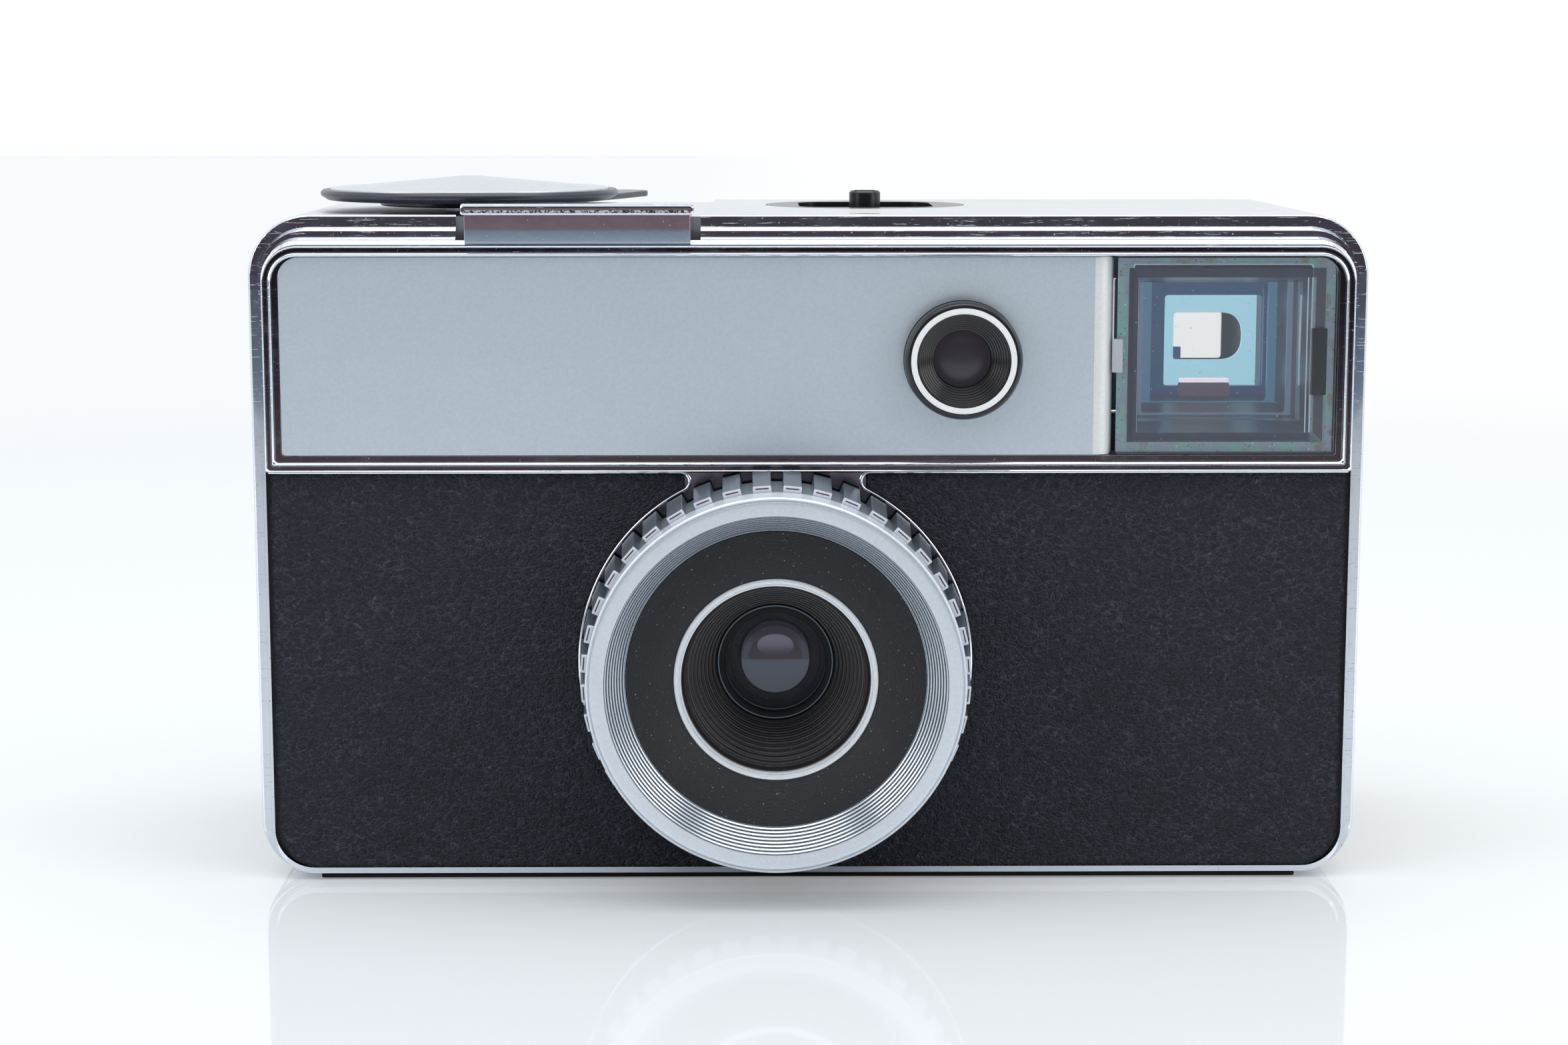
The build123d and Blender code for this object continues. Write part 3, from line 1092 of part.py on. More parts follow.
with BuildPart() as thumb_lever:
    with BuildSketch(Plane.XY.offset(WIND_LOW - THUMB_THICK)):
        with Locations((WIND_X, WIND_Y)):
            Circle(THUMB_HUB)
        tip = THUMB_REACH - THUMB_TIP
        with Locations((WIND_X + tip * cos(radians(THUMB_ANGLE)),
                        WIND_Y + tip * sin(radians(THUMB_ANGLE)))):
            Circle(THUMB_TIP)
        make_hull()
        with Locations((WIND_X, WIND_Y)):
            Circle(SPINDLE_RADIUS + SEAT_GAP, mode=Mode.SUBTRACT)
    extrude(amount=THUMB_THICK)
save(thumb_lever.part, "thumb_lever")

with BuildPart() as wind_spindle:
    with BuildSketch(Plane.XY.offset(BAND_SPLIT + FREE_GAP)):
        with Locations((WIND_X, WIND_Y)):
            Circle(SPINDLE_RADIUS)
    extrude(amount=WIND_LOW - BAND_SPLIT - FREE_GAP)
save(wind_spindle.part, "wind_spindle")

idler_direction = degrees(FLASH_DIRECTION - IDLER_TURN)
flash_gear_direction = degrees(atan2(FLASH_Y - IDLER_Y, FLASH_X - IDLER_X))
idler_phase = mesh_phase(WIND_TEETH, idler_direction, idler_direction, IDLER_TEETH)
gears = (
    ("wind_gear", WIND_X, WIND_Y, TRAIN_Z, WIND_TEETH, idler_direction, SPINDLE_RADIUS),
    ("idler_gear", IDLER_X, IDLER_Y, TRAIN_Z, IDLER_TEETH, idler_phase, IDLER_POST),
    ("flash_gear", FLASH_X, FLASH_Y, TRAIN_Z, FLASH_TEETH,
     mesh_phase(IDLER_TEETH, idler_phase, flash_gear_direction, FLASH_TEETH), FLASH_SHAFT),
    ("film_pinion", WIND_X, WIND_Y, FILM_GEAR_Z, WIND_TEETH, FILM_DRIVE_ANGLE, SPINDLE_RADIUS),
    ("film_gear", FILM_DRIVE_X, FILM_DRIVE_Y, FILM_GEAR_Z, FILM_TEETH,
     mesh_phase(WIND_TEETH, FILM_DRIVE_ANGLE, FILM_DRIVE_ANGLE, FILM_TEETH), COUPLER_BORE),
)
for name, x, y, z, teeth, phase, shaft in gears:
    with BuildPart() as gear:
        with BuildSketch(Plane(origin=(x, y, z))):
            add(gear_outline(teeth, phase, shaft + SEAT_GAP))
        extrude(amount=GEAR_THICK)
    save(gear.part, name)

# Shaft that turns the cartridge's take-up spool, with a cross dog at its lower end
with BuildPart() as film_coupler:
    with BuildSketch(Plane.XY.offset(FILM_HIGH - DOG_HEIGHT)):
        with Locations((FILM_DRIVE_X, FILM_DRIVE_Y)):
            Rectangle(2 * COUPLER_RADIUS, DOG_WIDTH)
            Rectangle(DOG_WIDTH, 2 * COUPLER_RADIUS)
    extrude(amount=DOG_HEIGHT)
    with BuildSketch(Plane.XY.offset(FILM_HIGH)):
        with Locations((FILM_DRIVE_X, FILM_DRIVE_Y)):
            Circle(COUPLER_RADIUS)
    extrude(amount=BAND_SPLIT - FILM_HIGH + FREE_GAP)
    with BuildSketch(Plane.XY.offset(BAND_SPLIT + FREE_GAP)):
        with Locations((FILM_DRIVE_X, FILM_DRIVE_Y)):
            Circle(COUPLER_BORE)
    extrude(amount=FILM_GEAR_Z + GEAR_THICK - BAND_SPLIT - FREE_GAP)
save(film_coupler.part, "film_coupler")

# Plate that carries the gear train on four pillars
with BuildPart() as gear_plate:
    with BuildSketch(Plane.XY.offset(GEAR_PLATE_TOP - GEAR_PLATE_THICK)):
        add(box_outline(PLATE_WEST, PLATE_EAST, PLATE_SOUTH, PLATE_NORTH, 2 * PILLAR_RADIUS))
        with Locations((WIND_X, WIND_Y)):
            Circle(SPINDLE_RADIUS + RUN_GAP, mode=Mode.SUBTRACT)
        with Locations((FLASH_X, FLASH_Y)):
            Circle(FLASH_SHAFT + RUN_GAP, mode=Mode.SUBTRACT)
    extrude(amount=GEAR_PLATE_THICK)
    with BuildSketch(Plane.XY.offset(BAND_SPLIT)):
        with Locations(((PLATE_WEST + PLATE_EAST) / 2, (PLATE_SOUTH + PLATE_NORTH) / 2)):
            with GridLocations(PLATE_EAST - PLATE_WEST - 4 * PILLAR_RADIUS,
                               PLATE_NORTH - PLATE_SOUTH - 4 * PILLAR_RADIUS, 2, 2):
                Circle(PILLAR_RADIUS)
    extrude(amount=GEAR_PLATE_TOP - GEAR_PLATE_THICK - BAND_SPLIT)
    with BuildSketch(Plane.XY.offset(GEAR_PLATE_TOP)):
        with Locations((IDLER_X, IDLER_Y)):
            Circle(IDLER_POST)
    extrude(amount=TRAIN_Z + GEAR_THICK - GEAR_PLATE_TOP)
save(gear_plate.part, "gear_plate")

# ---------------------------------------------------------------- flash socket

with BuildPart() as flash_socket:
    with BuildSketch(Plane.XY.offset(BODY_HEIGHT - FLASH_DEPTH - FLASH_FLOOR)):
        with Locations((FLASH_X, FLASH_Y)):
            Circle(FLASH_RADIUS - FLASH_GAP)
    extrude(amount=FLASH_DEPTH + FLASH_FLOOR)
    with BuildSketch(Plane.XY.offset(BODY_HEIGHT)):
        with Locations((FLASH_X, FLASH_Y)):
            RectangleRounded(FLASH_POCKET, FLASH_POCKET, FLASH_POCKET / 5)
    extrude(amount=-FLASH_DEPTH, mode=Mode.SUBTRACT)
    with BuildSketch(Plane.XY.offset(BODY_HEIGHT - FLASH_DEPTH)):
        with Locations((FLASH_X, FLASH_Y)):
            Circle(FLASH_POST)
    extrude(amount=FLASH_TOP - BODY_HEIGHT + FLASH_DEPTH)
    chamfer(flash_socket.faces().sort_by(Axis.Z)[-1].edges(), FLASH_POST / 8)
    with BuildSketch(Plane.XY.offset(GEAR_PLATE_TOP - GEAR_PLATE_THICK - FREE_GAP)):
        with Locations((FLASH_X, FLASH_Y)):
            Circle(FLASH_SHAFT)
    extrude(amount=BODY_HEIGHT - FLASH_DEPTH - FLASH_FLOOR - GEAR_PLATE_TOP + GEAR_PLATE_THICK + FREE_GAP)
save(flash_socket.part, "flash_socket")

with BuildPart() as flash_contacts:
    with BuildSketch(Plane.XY.offset(BODY_HEIGHT - FLASH_DEPTH)):
        with Locations((FLASH_X, FLASH_Y)):
            with PolarLocations(CONTACT_RADIUS, 4):
                Rectangle(CONTACT_SIZE / 2, CONTACT_SIZE)
    extrude(amount=CONTACT_SIZE / 2)
save(flash_contacts.part, "flash_contacts")

# ---------------------------------------------------------------- back door

with BuildPart() as back_door:
    with BuildSketch(front_plane(BACK_Y)):
        add(body_outline(0, 0, 0))
        add(box_outline(-HALF, HALF, 0, DOOR_LOW), mode=Mode.SUBTRACT)
        add(box_outline(-HALF, HALF, DOOR_TOP, BODY_HEIGHT), mode=Mode.SUBTRACT)
        add(box_outline(-HALF, HINGE_CLEAR_X, 0, DOOR_TOP), mode=Mode.SUBTRACT)
    extrude(amount=DOOR_THICK)
    # Rim that closes on the rear edge of the body
    with BuildSketch(front_plane(BACK_Y - DOOR_THICK)):
        add(body_outline(0, 0, 0))
        add(box_outline(-HALF, HALF, 0, DOOR_LOW), mode=Mode.SUBTRACT)
        add(box_outline(-HALF, HALF, DOOR_TOP, BODY_HEIGHT), mode=Mode.SUBTRACT)
        add(box_outline(-HALF, HINGE_CLEAR_X, 0, DOOR_TOP), mode=Mode.SUBTRACT)
        add(box_outline(HINGE_CLEAR_X + WALL, HALF - WALL, DOOR_LOW + THIN_WALL, DOOR_TOP - THIN_WALL),
            mode=Mode.SUBTRACT)
    extrude(amount=DOOR_RIM - SLIDE_GAP)
    # Knuckles of the hinge
    for knuckle in range(0, KNUCKLE_COUNT, 2):
        low = DOOR_LOW + knuckle * KNUCKLE_PITCH + FREE_GAP / 2
        with BuildSketch(Plane.XY.offset(low)):
            with Locations((HINGE_X, HINGE_Y)):
                Circle(HINGE_RADIUS)
            add(box_outline(HINGE_X, HINGE_CLEAR_X + FREE_GAP, BACK_Y - DOOR_THICK, BACK_Y))
        extrude(amount=KNUCKLE_PITCH - FREE_GAP)
    with Locations((HINGE_X, HINGE_Y, DOOR_TOP)):
        Hole(HINGE_PIN + SEAT_GAP, depth=DOOR_TOP - DOOR_LOW)
    # Window over the cartridge's label, and a recess for the leather
    with BuildSketch(front_plane(BACK_Y)):
        with Locations((LENS_X, LENS_Z)):
            Rectangle(DOOR_WINDOW_WIDTH, DOOR_WINDOW_HEIGHT)
    extrude(amount=DOOR_THICK, mode=Mode.SUBTRACT)
    with BuildSketch(front_plane(BACK_Y)):
        add(box_outline(HINGE_CLEAR_X + DOOR_BORDER, DOOR_RIGHT, DOOR_LOW + DOOR_BORDER,
                        DOOR_TOP - DOOR_BORDER, DOOR_BORDER))
    extrude(amount=SKIN, mode=Mode.SUBTRACT)
    # Catch that the latch holds
    with BuildSketch(front_plane(BACK_Y - DOOR_THICK)):
        add(box_outline(CATCH_X - CATCH_THICK / 2, CATCH_X + CATCH_THICK / 2,
                        LATCH_Z - CATCH_HEIGHT / 2, LATCH_Z + CATCH_HEIGHT / 2))
    extrude(amount=DOOR_RIM + CATCH_REACH)
    # The lowest knuckle follows the rounded corner of the body
    with BuildSketch(front_plane(BACK_Y)):
        add(body_outline(0, 0, 0))
    extrude(amount=BODY_DEPTH, mode=Mode.INTERSECT)
save(back_door.part, "back_door")

with BuildPart() as door_leather:
    with BuildSketch(front_plane(BACK_Y)):
        add(box_outline(HINGE_CLEAR_X + DOOR_BORDER + SEAT_GAP, DOOR_RIGHT - SEAT_GAP,
                        DOOR_LOW + DOOR_BORDER + SEAT_GAP, DOOR_TOP - DOOR_BORDER - SEAT_GAP,
                        DOOR_BORDER - SEAT_GAP))
        with Locations((LENS_X, LENS_Z)):
            Rectangle(DOOR_WINDOW_WIDTH, DOOR_WINDOW_HEIGHT, mode=Mode.SUBTRACT)
    extrude(amount=SKIN)
save(door_leather.part, "door_leather")

with BuildPart() as door_window:
    with BuildSketch(front_plane(BACK_Y - SKIN / 2)):
        with Locations((LENS_X, LENS_Z)):
            Rectangle(DOOR_WINDOW_WIDTH - 2 * SEAT_GAP, DOOR_WINDOW_HEIGHT - 2 * SEAT_GAP)
    extrude(amount=DOOR_THICK - SKIN)
save(door_window.part, "door_window")

# Two bowed strips inside the door that press the cartridge against the gate
with BuildPart() as cartridge_springs:
    for side in (-1, 1):
        strip_x = LENS_X + side * (FILM_WIDTH / 2 - SPOOL_WIDTH / 2)
        with BuildSketch(Plane.YZ.offset(strip_x)):
            with BuildLine():
                foot_y = BACK_Y - DOOR_THICK
                outer = ThreePointArc((foot_y, LENS_Z - STRIP_LENGTH / 2), (foot_y - STRIP_BOW, LENS_Z),
                                      (foot_y, LENS_Z + STRIP_LENGTH / 2))
                Line(outer @ 1, (foot_y, LENS_Z + STRIP_LENGTH / 2 - STRIP_SHEET))
                ThreePointArc((foot_y, LENS_Z + STRIP_LENGTH / 2 - STRIP_SHEET),
                              (foot_y - STRIP_BOW + STRIP_SHEET, LENS_Z),
                              (foot_y, LENS_Z - STRIP_LENGTH / 2 + STRIP_SHEET))
                Line((foot_y, LENS_Z - STRIP_LENGTH / 2 + STRIP_SHEET), outer @ 0)
            make_face()
        extrude(amount=SPRING_STRIP / 2, both=True)
save(cartridge_springs.part, "cartridge_springs")

with BuildPart() as hinge_pin:
    with BuildSketch(Plane.XY.offset(BASE_THICK)):
        with Locations((HINGE_X, HINGE_Y)):
            Circle(HINGE_PIN)
    extrude(amount=BAND_SPLIT - BASE_THICK)
save(hinge_pin.part, "hinge_pin")

# ---------------------------------------------------------------- door latch

with BuildPart() as door_latch:
    with BuildSketch(Plane.YZ.offset(HALF + SLIDE_GAP)):
        with Locations((LATCH_Y, LATCH_Z)):
            RectangleRounded(LATCH_WIDTH, LATCH_HEIGHT, LATCH_WIDTH / 3)
    extrude(amount=LATCH_PROUD - RIDGE_HEIGHT, taper=LATCH_TAPER)
    with BuildSketch(Plane.YZ.offset(HALF + SLIDE_GAP + LATCH_PROUD - RIDGE_HEIGHT)):
        with Locations((LATCH_Y, LATCH_Z)):
            with GridLocations(0, LATCH_HEIGHT * 0.8 / LATCH_RIDGES, 1, LATCH_RIDGES):
                Rectangle(LATCH_WIDTH * 0.6, RIDGE_HEIGHT)
    extrude(amount=RIDGE_HEIGHT)
    with BuildSketch(Plane.YZ.offset(HALF + SLIDE_GAP)):
        with Locations((LATCH_Y, LATCH_Z)):
            Rectangle(LATCH_STEM, LATCH_HEIGHT / 2)
    extrude(amount=-WALL - 2 * SLIDE_GAP)
    with BuildSketch(Plane.YZ.offset(HALF - WALL - SLIDE_GAP)):
        with Locations((LATCH_Y, LATCH_Z)):
            Rectangle(2 * LATCH_STEM, LATCH_HEIGHT / 2)
    extrude(amount=-KEEPER_THICK)
save(door_latch.part, "door_latch")

# ---------------------------------------------------------------- base, battery and tripod socket

with BuildPart() as tripod_socket:
    with BuildSketch(Plane.XY):
        Circle(SOCKET_RADIUS)
    extrude(amount=SOCKET_HEIGHT)
    with BuildSketch(Plane.XY.offset(BASE_THICK)):
        Circle(SOCKET_FLANGE)
    extrude(amount=FLANGE_THICK)
    with Locations(Location((0, 0, 0), (180, 0, 0))):
        Hole(SOCKET_BORE, depth=SOCKET_DEPTH)
save(tripod_socket.part, "tripod_socket")

with BuildPart() as battery_cover:
    with BuildSketch(Plane.XY):
        with Locations((BATTERY_X, BATTERY_Y)):
            Circle(COVER_RADIUS)
    extrude(amount=BASE_THICK + COVER_THREAD - FREE_GAP)
    with BuildSketch(Plane.XY):
        with Locations((BATTERY_X, BATTERY_Y)):
            SlotOverall(1.5 * COVER_RADIUS, COIN_SLOT)
    extrude(amount=COIN_SLOT, mode=Mode.SUBTRACT)
save(battery_cover.part, "battery_cover")

with BuildPart() as batteries:
    for cell in range(2):
        cell_low = BASE_THICK + COVER_THREAD + cell * BATTERY_LENGTH / 2
        with Locations((BATTERY_X, BATTERY_Y, cell_low)):
            Cylinder(BATTERY_RADIUS, BATTERY_LENGTH / 2 - FREE_GAP,
                     align=(Align.CENTER, Align.CENTER, Align.MIN))
save(batteries.part, "batteries")

with BuildPart() as battery_contact:
    with Locations((BATTERY_X, BATTERY_Y, BASE_THICK + COVER_THREAD + BATTERY_LENGTH)):
        Cone(BATTERY_RADIUS - 2 * THIN_WALL, THIN_WALL, THIN_WALL,
             align=(Align.CENTER, Align.CENTER, Align.MIN))
save(battery_contact.part, "battery_contact")

with BuildPart() as base_screws:
    for x in (-SCREW_X, SCREW_X):
        for y in (-SCREW_Y, SCREW_Y):
            with Locations((x, y, SCREW_RECESS)):
                Cylinder(SCREW_HEAD, BASE_THICK - SCREW_RECESS,
                         align=(Align.CENTER, Align.CENTER, Align.MIN))
                Box(1.6 * SCREW_HEAD, SCREW_SLOT, SCREW_SLOT,
                    align=(Align.CENTER, Align.CENTER, Align.MIN), mode=Mode.SUBTRACT)
save(base_screws.part, "base_screws")
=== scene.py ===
import json
from math import atan2, cos, degrees, hypot, pi, radians, sin, sqrt, tan

import bmesh
import bpy
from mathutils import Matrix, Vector, noise


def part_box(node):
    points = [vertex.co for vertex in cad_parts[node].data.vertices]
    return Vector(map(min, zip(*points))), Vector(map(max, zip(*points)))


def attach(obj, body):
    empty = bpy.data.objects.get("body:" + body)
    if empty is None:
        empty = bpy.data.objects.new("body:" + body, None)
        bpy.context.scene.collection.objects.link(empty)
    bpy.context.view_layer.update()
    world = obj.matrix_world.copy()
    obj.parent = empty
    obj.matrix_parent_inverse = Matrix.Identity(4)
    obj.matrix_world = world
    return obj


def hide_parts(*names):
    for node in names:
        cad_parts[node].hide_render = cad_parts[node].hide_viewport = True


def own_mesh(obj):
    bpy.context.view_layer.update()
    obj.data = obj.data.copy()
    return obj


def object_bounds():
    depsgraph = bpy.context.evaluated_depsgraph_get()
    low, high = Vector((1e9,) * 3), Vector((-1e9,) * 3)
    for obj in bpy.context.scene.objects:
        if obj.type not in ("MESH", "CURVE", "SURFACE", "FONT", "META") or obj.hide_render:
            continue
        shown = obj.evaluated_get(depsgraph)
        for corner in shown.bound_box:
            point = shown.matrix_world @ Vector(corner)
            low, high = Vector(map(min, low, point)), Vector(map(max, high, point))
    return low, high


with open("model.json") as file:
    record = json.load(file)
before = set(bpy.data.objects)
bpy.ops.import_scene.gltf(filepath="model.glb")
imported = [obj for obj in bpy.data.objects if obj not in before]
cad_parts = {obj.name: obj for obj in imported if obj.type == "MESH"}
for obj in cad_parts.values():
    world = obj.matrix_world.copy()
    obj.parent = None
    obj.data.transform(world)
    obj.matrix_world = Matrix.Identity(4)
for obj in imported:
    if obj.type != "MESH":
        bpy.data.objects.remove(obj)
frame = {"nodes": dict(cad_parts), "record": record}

cad_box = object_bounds()
nodes = frame["nodes"]
MM = 0.001


# ---------------------------------------------------------------- places taken from the frame

class Place:
    """The box of a CAD node, in millimetres."""

    def __init__(self, node):
        low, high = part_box(node)
        self.left, self.front, self.low = (value / MM for value in low)
        self.right, self.back, self.high = (value / MM for value in high)
        self.x = (self.left + self.right) / 2
        self.y = (self.front + self.back) / 2
        self.z = (self.low + self.high) / 2
        self.radius = (self.right - self.left) / 2
        self.width = self.right - self.left
        self.height = self.high - self.low


RIM = Place("front_frame")
TRIM = Place("name_plate_trim")
PLATE = Place("name_plate")
WINDOW = Place("viewfinder_window")
LEATHER = Place("front_leather")
LENS_BASE = Place("lens_base")
KNURL = Place("focus_ring")
RING = Place("front_ring")
ANNULUS = Place("front_annulus")
BRIGHT = Place("bright_ring")
HOOD = Place("lens_hood")
CELL = Place("lens_cell")
GLASS = Place("front_lens")
PHOTO = Place("photocell_bezel")
PHOTO_RING = Place("photocell_ring")
PHOTO_GLASS = Place("photocell_glass")
KEY = Place("release_key")
DISC = Place("wind_disc")
CAP = Place("wind_cap")
THUMB = Place("thumb_lever")
SOCKET = Place("flash_socket")
TOP = Place("top_cover")
TUBE = Place("viewfinder_tube")
MASK = Place("viewfinder_mask")
EYEPIECE = Place("viewfinder_eyepiece")
DOOR_LEATHER = Place("door_leather")
DOOR_WINDOW = Place("door_window")

HALF = RIM.right
HEIGHT = TOP.high
TOP_CORNER = 6.0
LOW_CORNER = 5.3
LENS = (RING.x, RING.z)
PHOTO_AXIS = (PHOTO.x, PHOTO.z)
INNER_RADIUS = 3.3

# Heights on the release key
STRIP_LINE = 65.13
# Height where the key's painted brown reflection above meets the painted blue-grey one below
REFLECTION_LINE = 63.25
SKIRT_LOW = 61.89


# ---------------------------------------------------------------- shader maths

class Wire:
    """A node's output that takes part in arithmetic: each operation adds one Math node."""

    def __init__(self, graph, socket):
        self.graph = graph
        self.socket = socket

    def maths(self, operation, *others):
        return self.graph.node("ShaderNodeMath", {"operation": operation}, (self,) + others)

    def __add__(self, other):
        return self.maths("ADD", other)

    __radd__ = __add__

    def __sub__(self, other):
        return self.maths("SUBTRACT", other)

    def __rsub__(self, other):
        return self.graph.node("ShaderNodeMath", {"operation": "SUBTRACT"}, (other, self))

    def __mul__(self, other):
        return self.maths("MULTIPLY", other)

    __rmul__ = __mul__

    def __truediv__(self, other):
        return self.maths("DIVIDE", other)

    def __lt__(self, other):
        return self.maths("LESS_THAN", other)

    def power(self, exponent):
        return self.maths("POWER", exponent)

    def least(self, other):
        return self.maths("MINIMUM", other)

    def most(self, other):
        return self.maths("MAXIMUM", other)

    def between(self, low, high):
        """0 up to low, 1 from high on, and a smooth rise between."""
        settings = {"interpolation_type": "SMOOTHSTEP"}
        return self.graph.node("ShaderNodeMapRange", settings, {0: self, 1: low, 2: high})


class Graph:
    """A node tree that is filled through one method."""

    def __init__(self, tree):
        self.tree = tree

    def node(self, kind, settings=None, inputs=None, output=0):
        """Adds a node: its settings go in first, then the values or links of its sockets."""
        made = self.tree.nodes.new(kind)
        for name, value in (settings or {}).items():
            if name == "stops":
                self.set_stops(made.color_ramp, value)
            else:
                setattr(made, name, value)
        if not isinstance(inputs, dict):
            inputs = dict(enumerate(inputs or ()))
        for name, value in inputs.items():
            if isinstance(value, Wire):
                self.tree.links.new(value.socket, made.inputs[name])
            else:
                made.inputs[name].default_value = value
        return Wire(self, made.outputs[output]) if made.outputs else None

    @staticmethod
    def set_stops(ramp, stops):
        while len(ramp.elements) < len(stops):
            ramp.elements.new(0.5)
        for element, (position, colour) in zip(ramp.elements, stops):
            element.position = position
            element.color = (*colour, 1)


class Finish(Graph):
    """A material while it is being made."""

    def __init__(self, name):
        self.material = bpy.data.materials.new(name)
        self.material.use_nodes = True
        super().__init__(self.material.node_tree)
        self.tree.nodes.clear()
        self.where = self.node("ShaderNodeTexCoord", output="Object")

    def scaled(self, x, y, z):
        """Object coordinates in millimetres, stretched by a factor along each axis."""
        settings = {"operation": "MULTIPLY"}
        return self.node("ShaderNodeVectorMath", settings, (self.where, (x / MM, y / MM, z / MM)))

    def axes(self):
        """The object coordinates in millimetres, one wire an axis."""
        place = self.scaled(1, 1, 1)
        return [self.node("ShaderNodeSeparateXYZ", inputs=(place,), output=axis) for axis in range(3)]

    def noise(self, scale, detail=2.0, rough=0.5, stretch=(1, 1, 1), distortion=0.0):
        """Cloudy noise from 0 to 1; scale is in cells a millimetre."""
        inputs = {"Vector": self.scaled(*stretch), "Scale": scale, "Detail": detail, "Roughness": rough,
                  "Distortion": distortion}
        return self.node("ShaderNodeTexNoise", {"noise_dimensions": "3D"}, inputs)

    def cells(self, scale, feature="F1", stretch=(1, 1, 1), randomness=1.0, output="Distance"):
        """Cellular pattern; scale is in cells a millimetre."""
        inputs = {"Vector": self.scaled(*stretch), "Scale": scale, "Randomness": randomness}
        return self.node("ShaderNodeTexVoronoi", {"feature": feature}, inputs, output)

    def specks(self, scale, size, share=0.4):
        """1 on small scattered specks: size is their radius in cells, share how many cells have one."""
        picked = self.cells(scale, output="Color")
        chosen = self.node("ShaderNodeSeparateColor", inputs=(picked,)) < share
        return (1 - self.cells(scale).between(size * 0.6, size)) * chosen

    def blend(self, factor, first, second):
        """Mixes two colours."""
        inputs = {0: factor, 6: self.colour(first), 7: self.colour(second)}
        return self.node("ShaderNodeMix", {"data_type": "RGBA"}, inputs, 2)

    @staticmethod
    def colour(value):
        return (*value, 1) if isinstance(value, tuple) and len(value) == 3 else value

    def bump(self, height, distance, strength=1.0, under=None):
        """Normal from a height wire; distance is in millimetres."""
        inputs = {"Height": height, "Distance": distance * MM, "Strength": strength}
        if under is not None:
            inputs["Normal"] = under
        return self.node("ShaderNodeBump", inputs=inputs)

    def principled(self, colour, roughness, metallic=0.0, normal=None, more=()):
        """Ends the material in one Principled surface; more holds other sockets by name."""
        inputs = {"Base Color": self.colour(colour), "Roughness": roughness, "Metallic": metallic}
        if normal is not None:
            inputs["Normal"] = normal
        inputs.update(more)
        return self.node("ShaderNodeBsdfPrincipled", inputs=inputs)

    def done(self, surface):
        self.node("ShaderNodeOutputMaterial", inputs={"Surface": surface})
        return self.material


def tone(red, green, blue):
    """Linear colour from display values of 0 to 255."""
    return tuple(((value / 255 + 0.055) / 1.055) ** 2.4 if value > 10 else value / 255 / 12.92
                 for value in (red, green, blue))


# ---------------------------------------------------------------- finishes

def chrome(name, dull, dirt, colour):
    """Bright plating with hairline scratches, haze and specks of dust."""
    f = Finish(name)
    haze = f.noise(0.35, 4, 0.6)
    scratches = f.noise(1.2, 3, 0.7, stretch=(0.25, 3.0, 6.0)).between(0.62, 0.70)
    dust = f.specks(1.3, 0.11, 0.35).most(f.specks(3.1, 0.12, 0.25)) * dirt
    rough = dull + haze.between(0.45, 0.8) * 0.10 + scratches * 0.05 + dust * 0.4
    plating = f.blend(haze.between(0.5, 0.9) * 0.3, colour, (0.62, 0.62, 0.66))
    paint = f.blend(dust, plating, (0.42, 0.36, 0.30))
    normal = f.bump(scratches + dust * 2, 0.006, 0.6)
    return f.done(f.principled(paint, rough, 1 - dust * 0.8, normal))


def stipple(name):
    """Cast strip of dark and bright grains, plain brown above a line."""
    f = Finish(name)
    grains = f.noise(3.4, 3, 0.7).between(0.46, 0.56)
    plain = f.axes()[2].between(STRIP_LINE - 0.02, STRIP_LINE + 0.02)
    paint = f.blend(grains, tone(52, 48, 54), tone(206, 212, 222))
    paint = f.blend(plain, paint, tone(122, 98, 100))
    return f.done(f.principled(paint, 0.45, 0.3, f.bump(grains, 0.05, 0.8)))


def key_painted_reflections(name):
    """Bright plating painted brown above and blue-grey below as painted reflections, with rust and dust."""
    f = Finish(name)
    height = f.axes()[2]
    cloud = f.noise(0.6, 4, 0.65)
    lower = (height + (cloud - 0.5) * 0.5).between(REFLECTION_LINE + 0.17, REFLECTION_LINE - 0.17)
    rust = f.specks(1.3, 0.16, 0.3) * cloud.between(0.5, 0.7)
    dust = f.specks(2.1, 0.10, 0.4)
    # Painted reflection: brown above the line and blue-grey below it; the rust and dust are the key's own
    paint = f.blend(lower, (0.50, 0.36, 0.40), (0.36, 0.43, 0.50))
    paint = f.blend(rust * 0.7, paint, (0.42, 0.20, 0.10))
    paint = f.blend(dust * 0.8, paint, (0.80, 0.80, 0.78))
    rough = 0.20 + cloud * 0.10 + dust * 0.3
    return f.done(f.principled(paint, rough, 0.88 - dust * 0.6, f.bump(cloud + dust, 0.02, 0.6)))


def satin(name, colour, roughness, grain=0.5, smudges=0.3, metallic=0.85):
    """Finely frosted metal with faint smudges."""
    f = Finish(name)
    frost = f.noise(7, 3, 0.75)
    smudge = f.noise(0.10, 4, 0.6).between(0.4, 0.75) * smudges
    darker = tuple(value * 0.80 for value in colour)
    coarse = f.noise(3.2, 2, 0.6)
    paint = f.blend((frost - 0.5) * 0.9 + (coarse - 0.5) * 0.8 + 0.4 + smudge, colour, darker)
    normal = f.bump(frost, 0.012 * grain, 0.5)
    rough = roughness + frost * 0.08 + smudge * 0.1
    return f.done(f.principled(paint, rough, metallic, normal))


def moulding(name, colour, roughness, grain=0.4, dirt=0.4, glow=0.0, shine=0.5):
    """Moulded or painted surface with a fine texture and light dust; glow stands for light let through."""
    f = Finish(name)
    fine = f.noise(5, 3, 0.6)
    dust = f.specks(1.1, 0.07, 0.3).most(f.specks(2.6, 0.09, 0.2)) * dirt
    paint = f.blend(dust, f.blend(fine, colour, tuple(value * 1.4 for value in colour)), (0.45, 0.43, 0.38))
    rough = roughness + fine * 0.12 + dust * 0.3
    more = {"Emission Color": paint, "Emission Strength": glow, "Specular IOR Level": shine}
    return f.done(f.principled(paint, rough, 0.0, f.bump(fine, 0.03 * grain, 0.6), more))


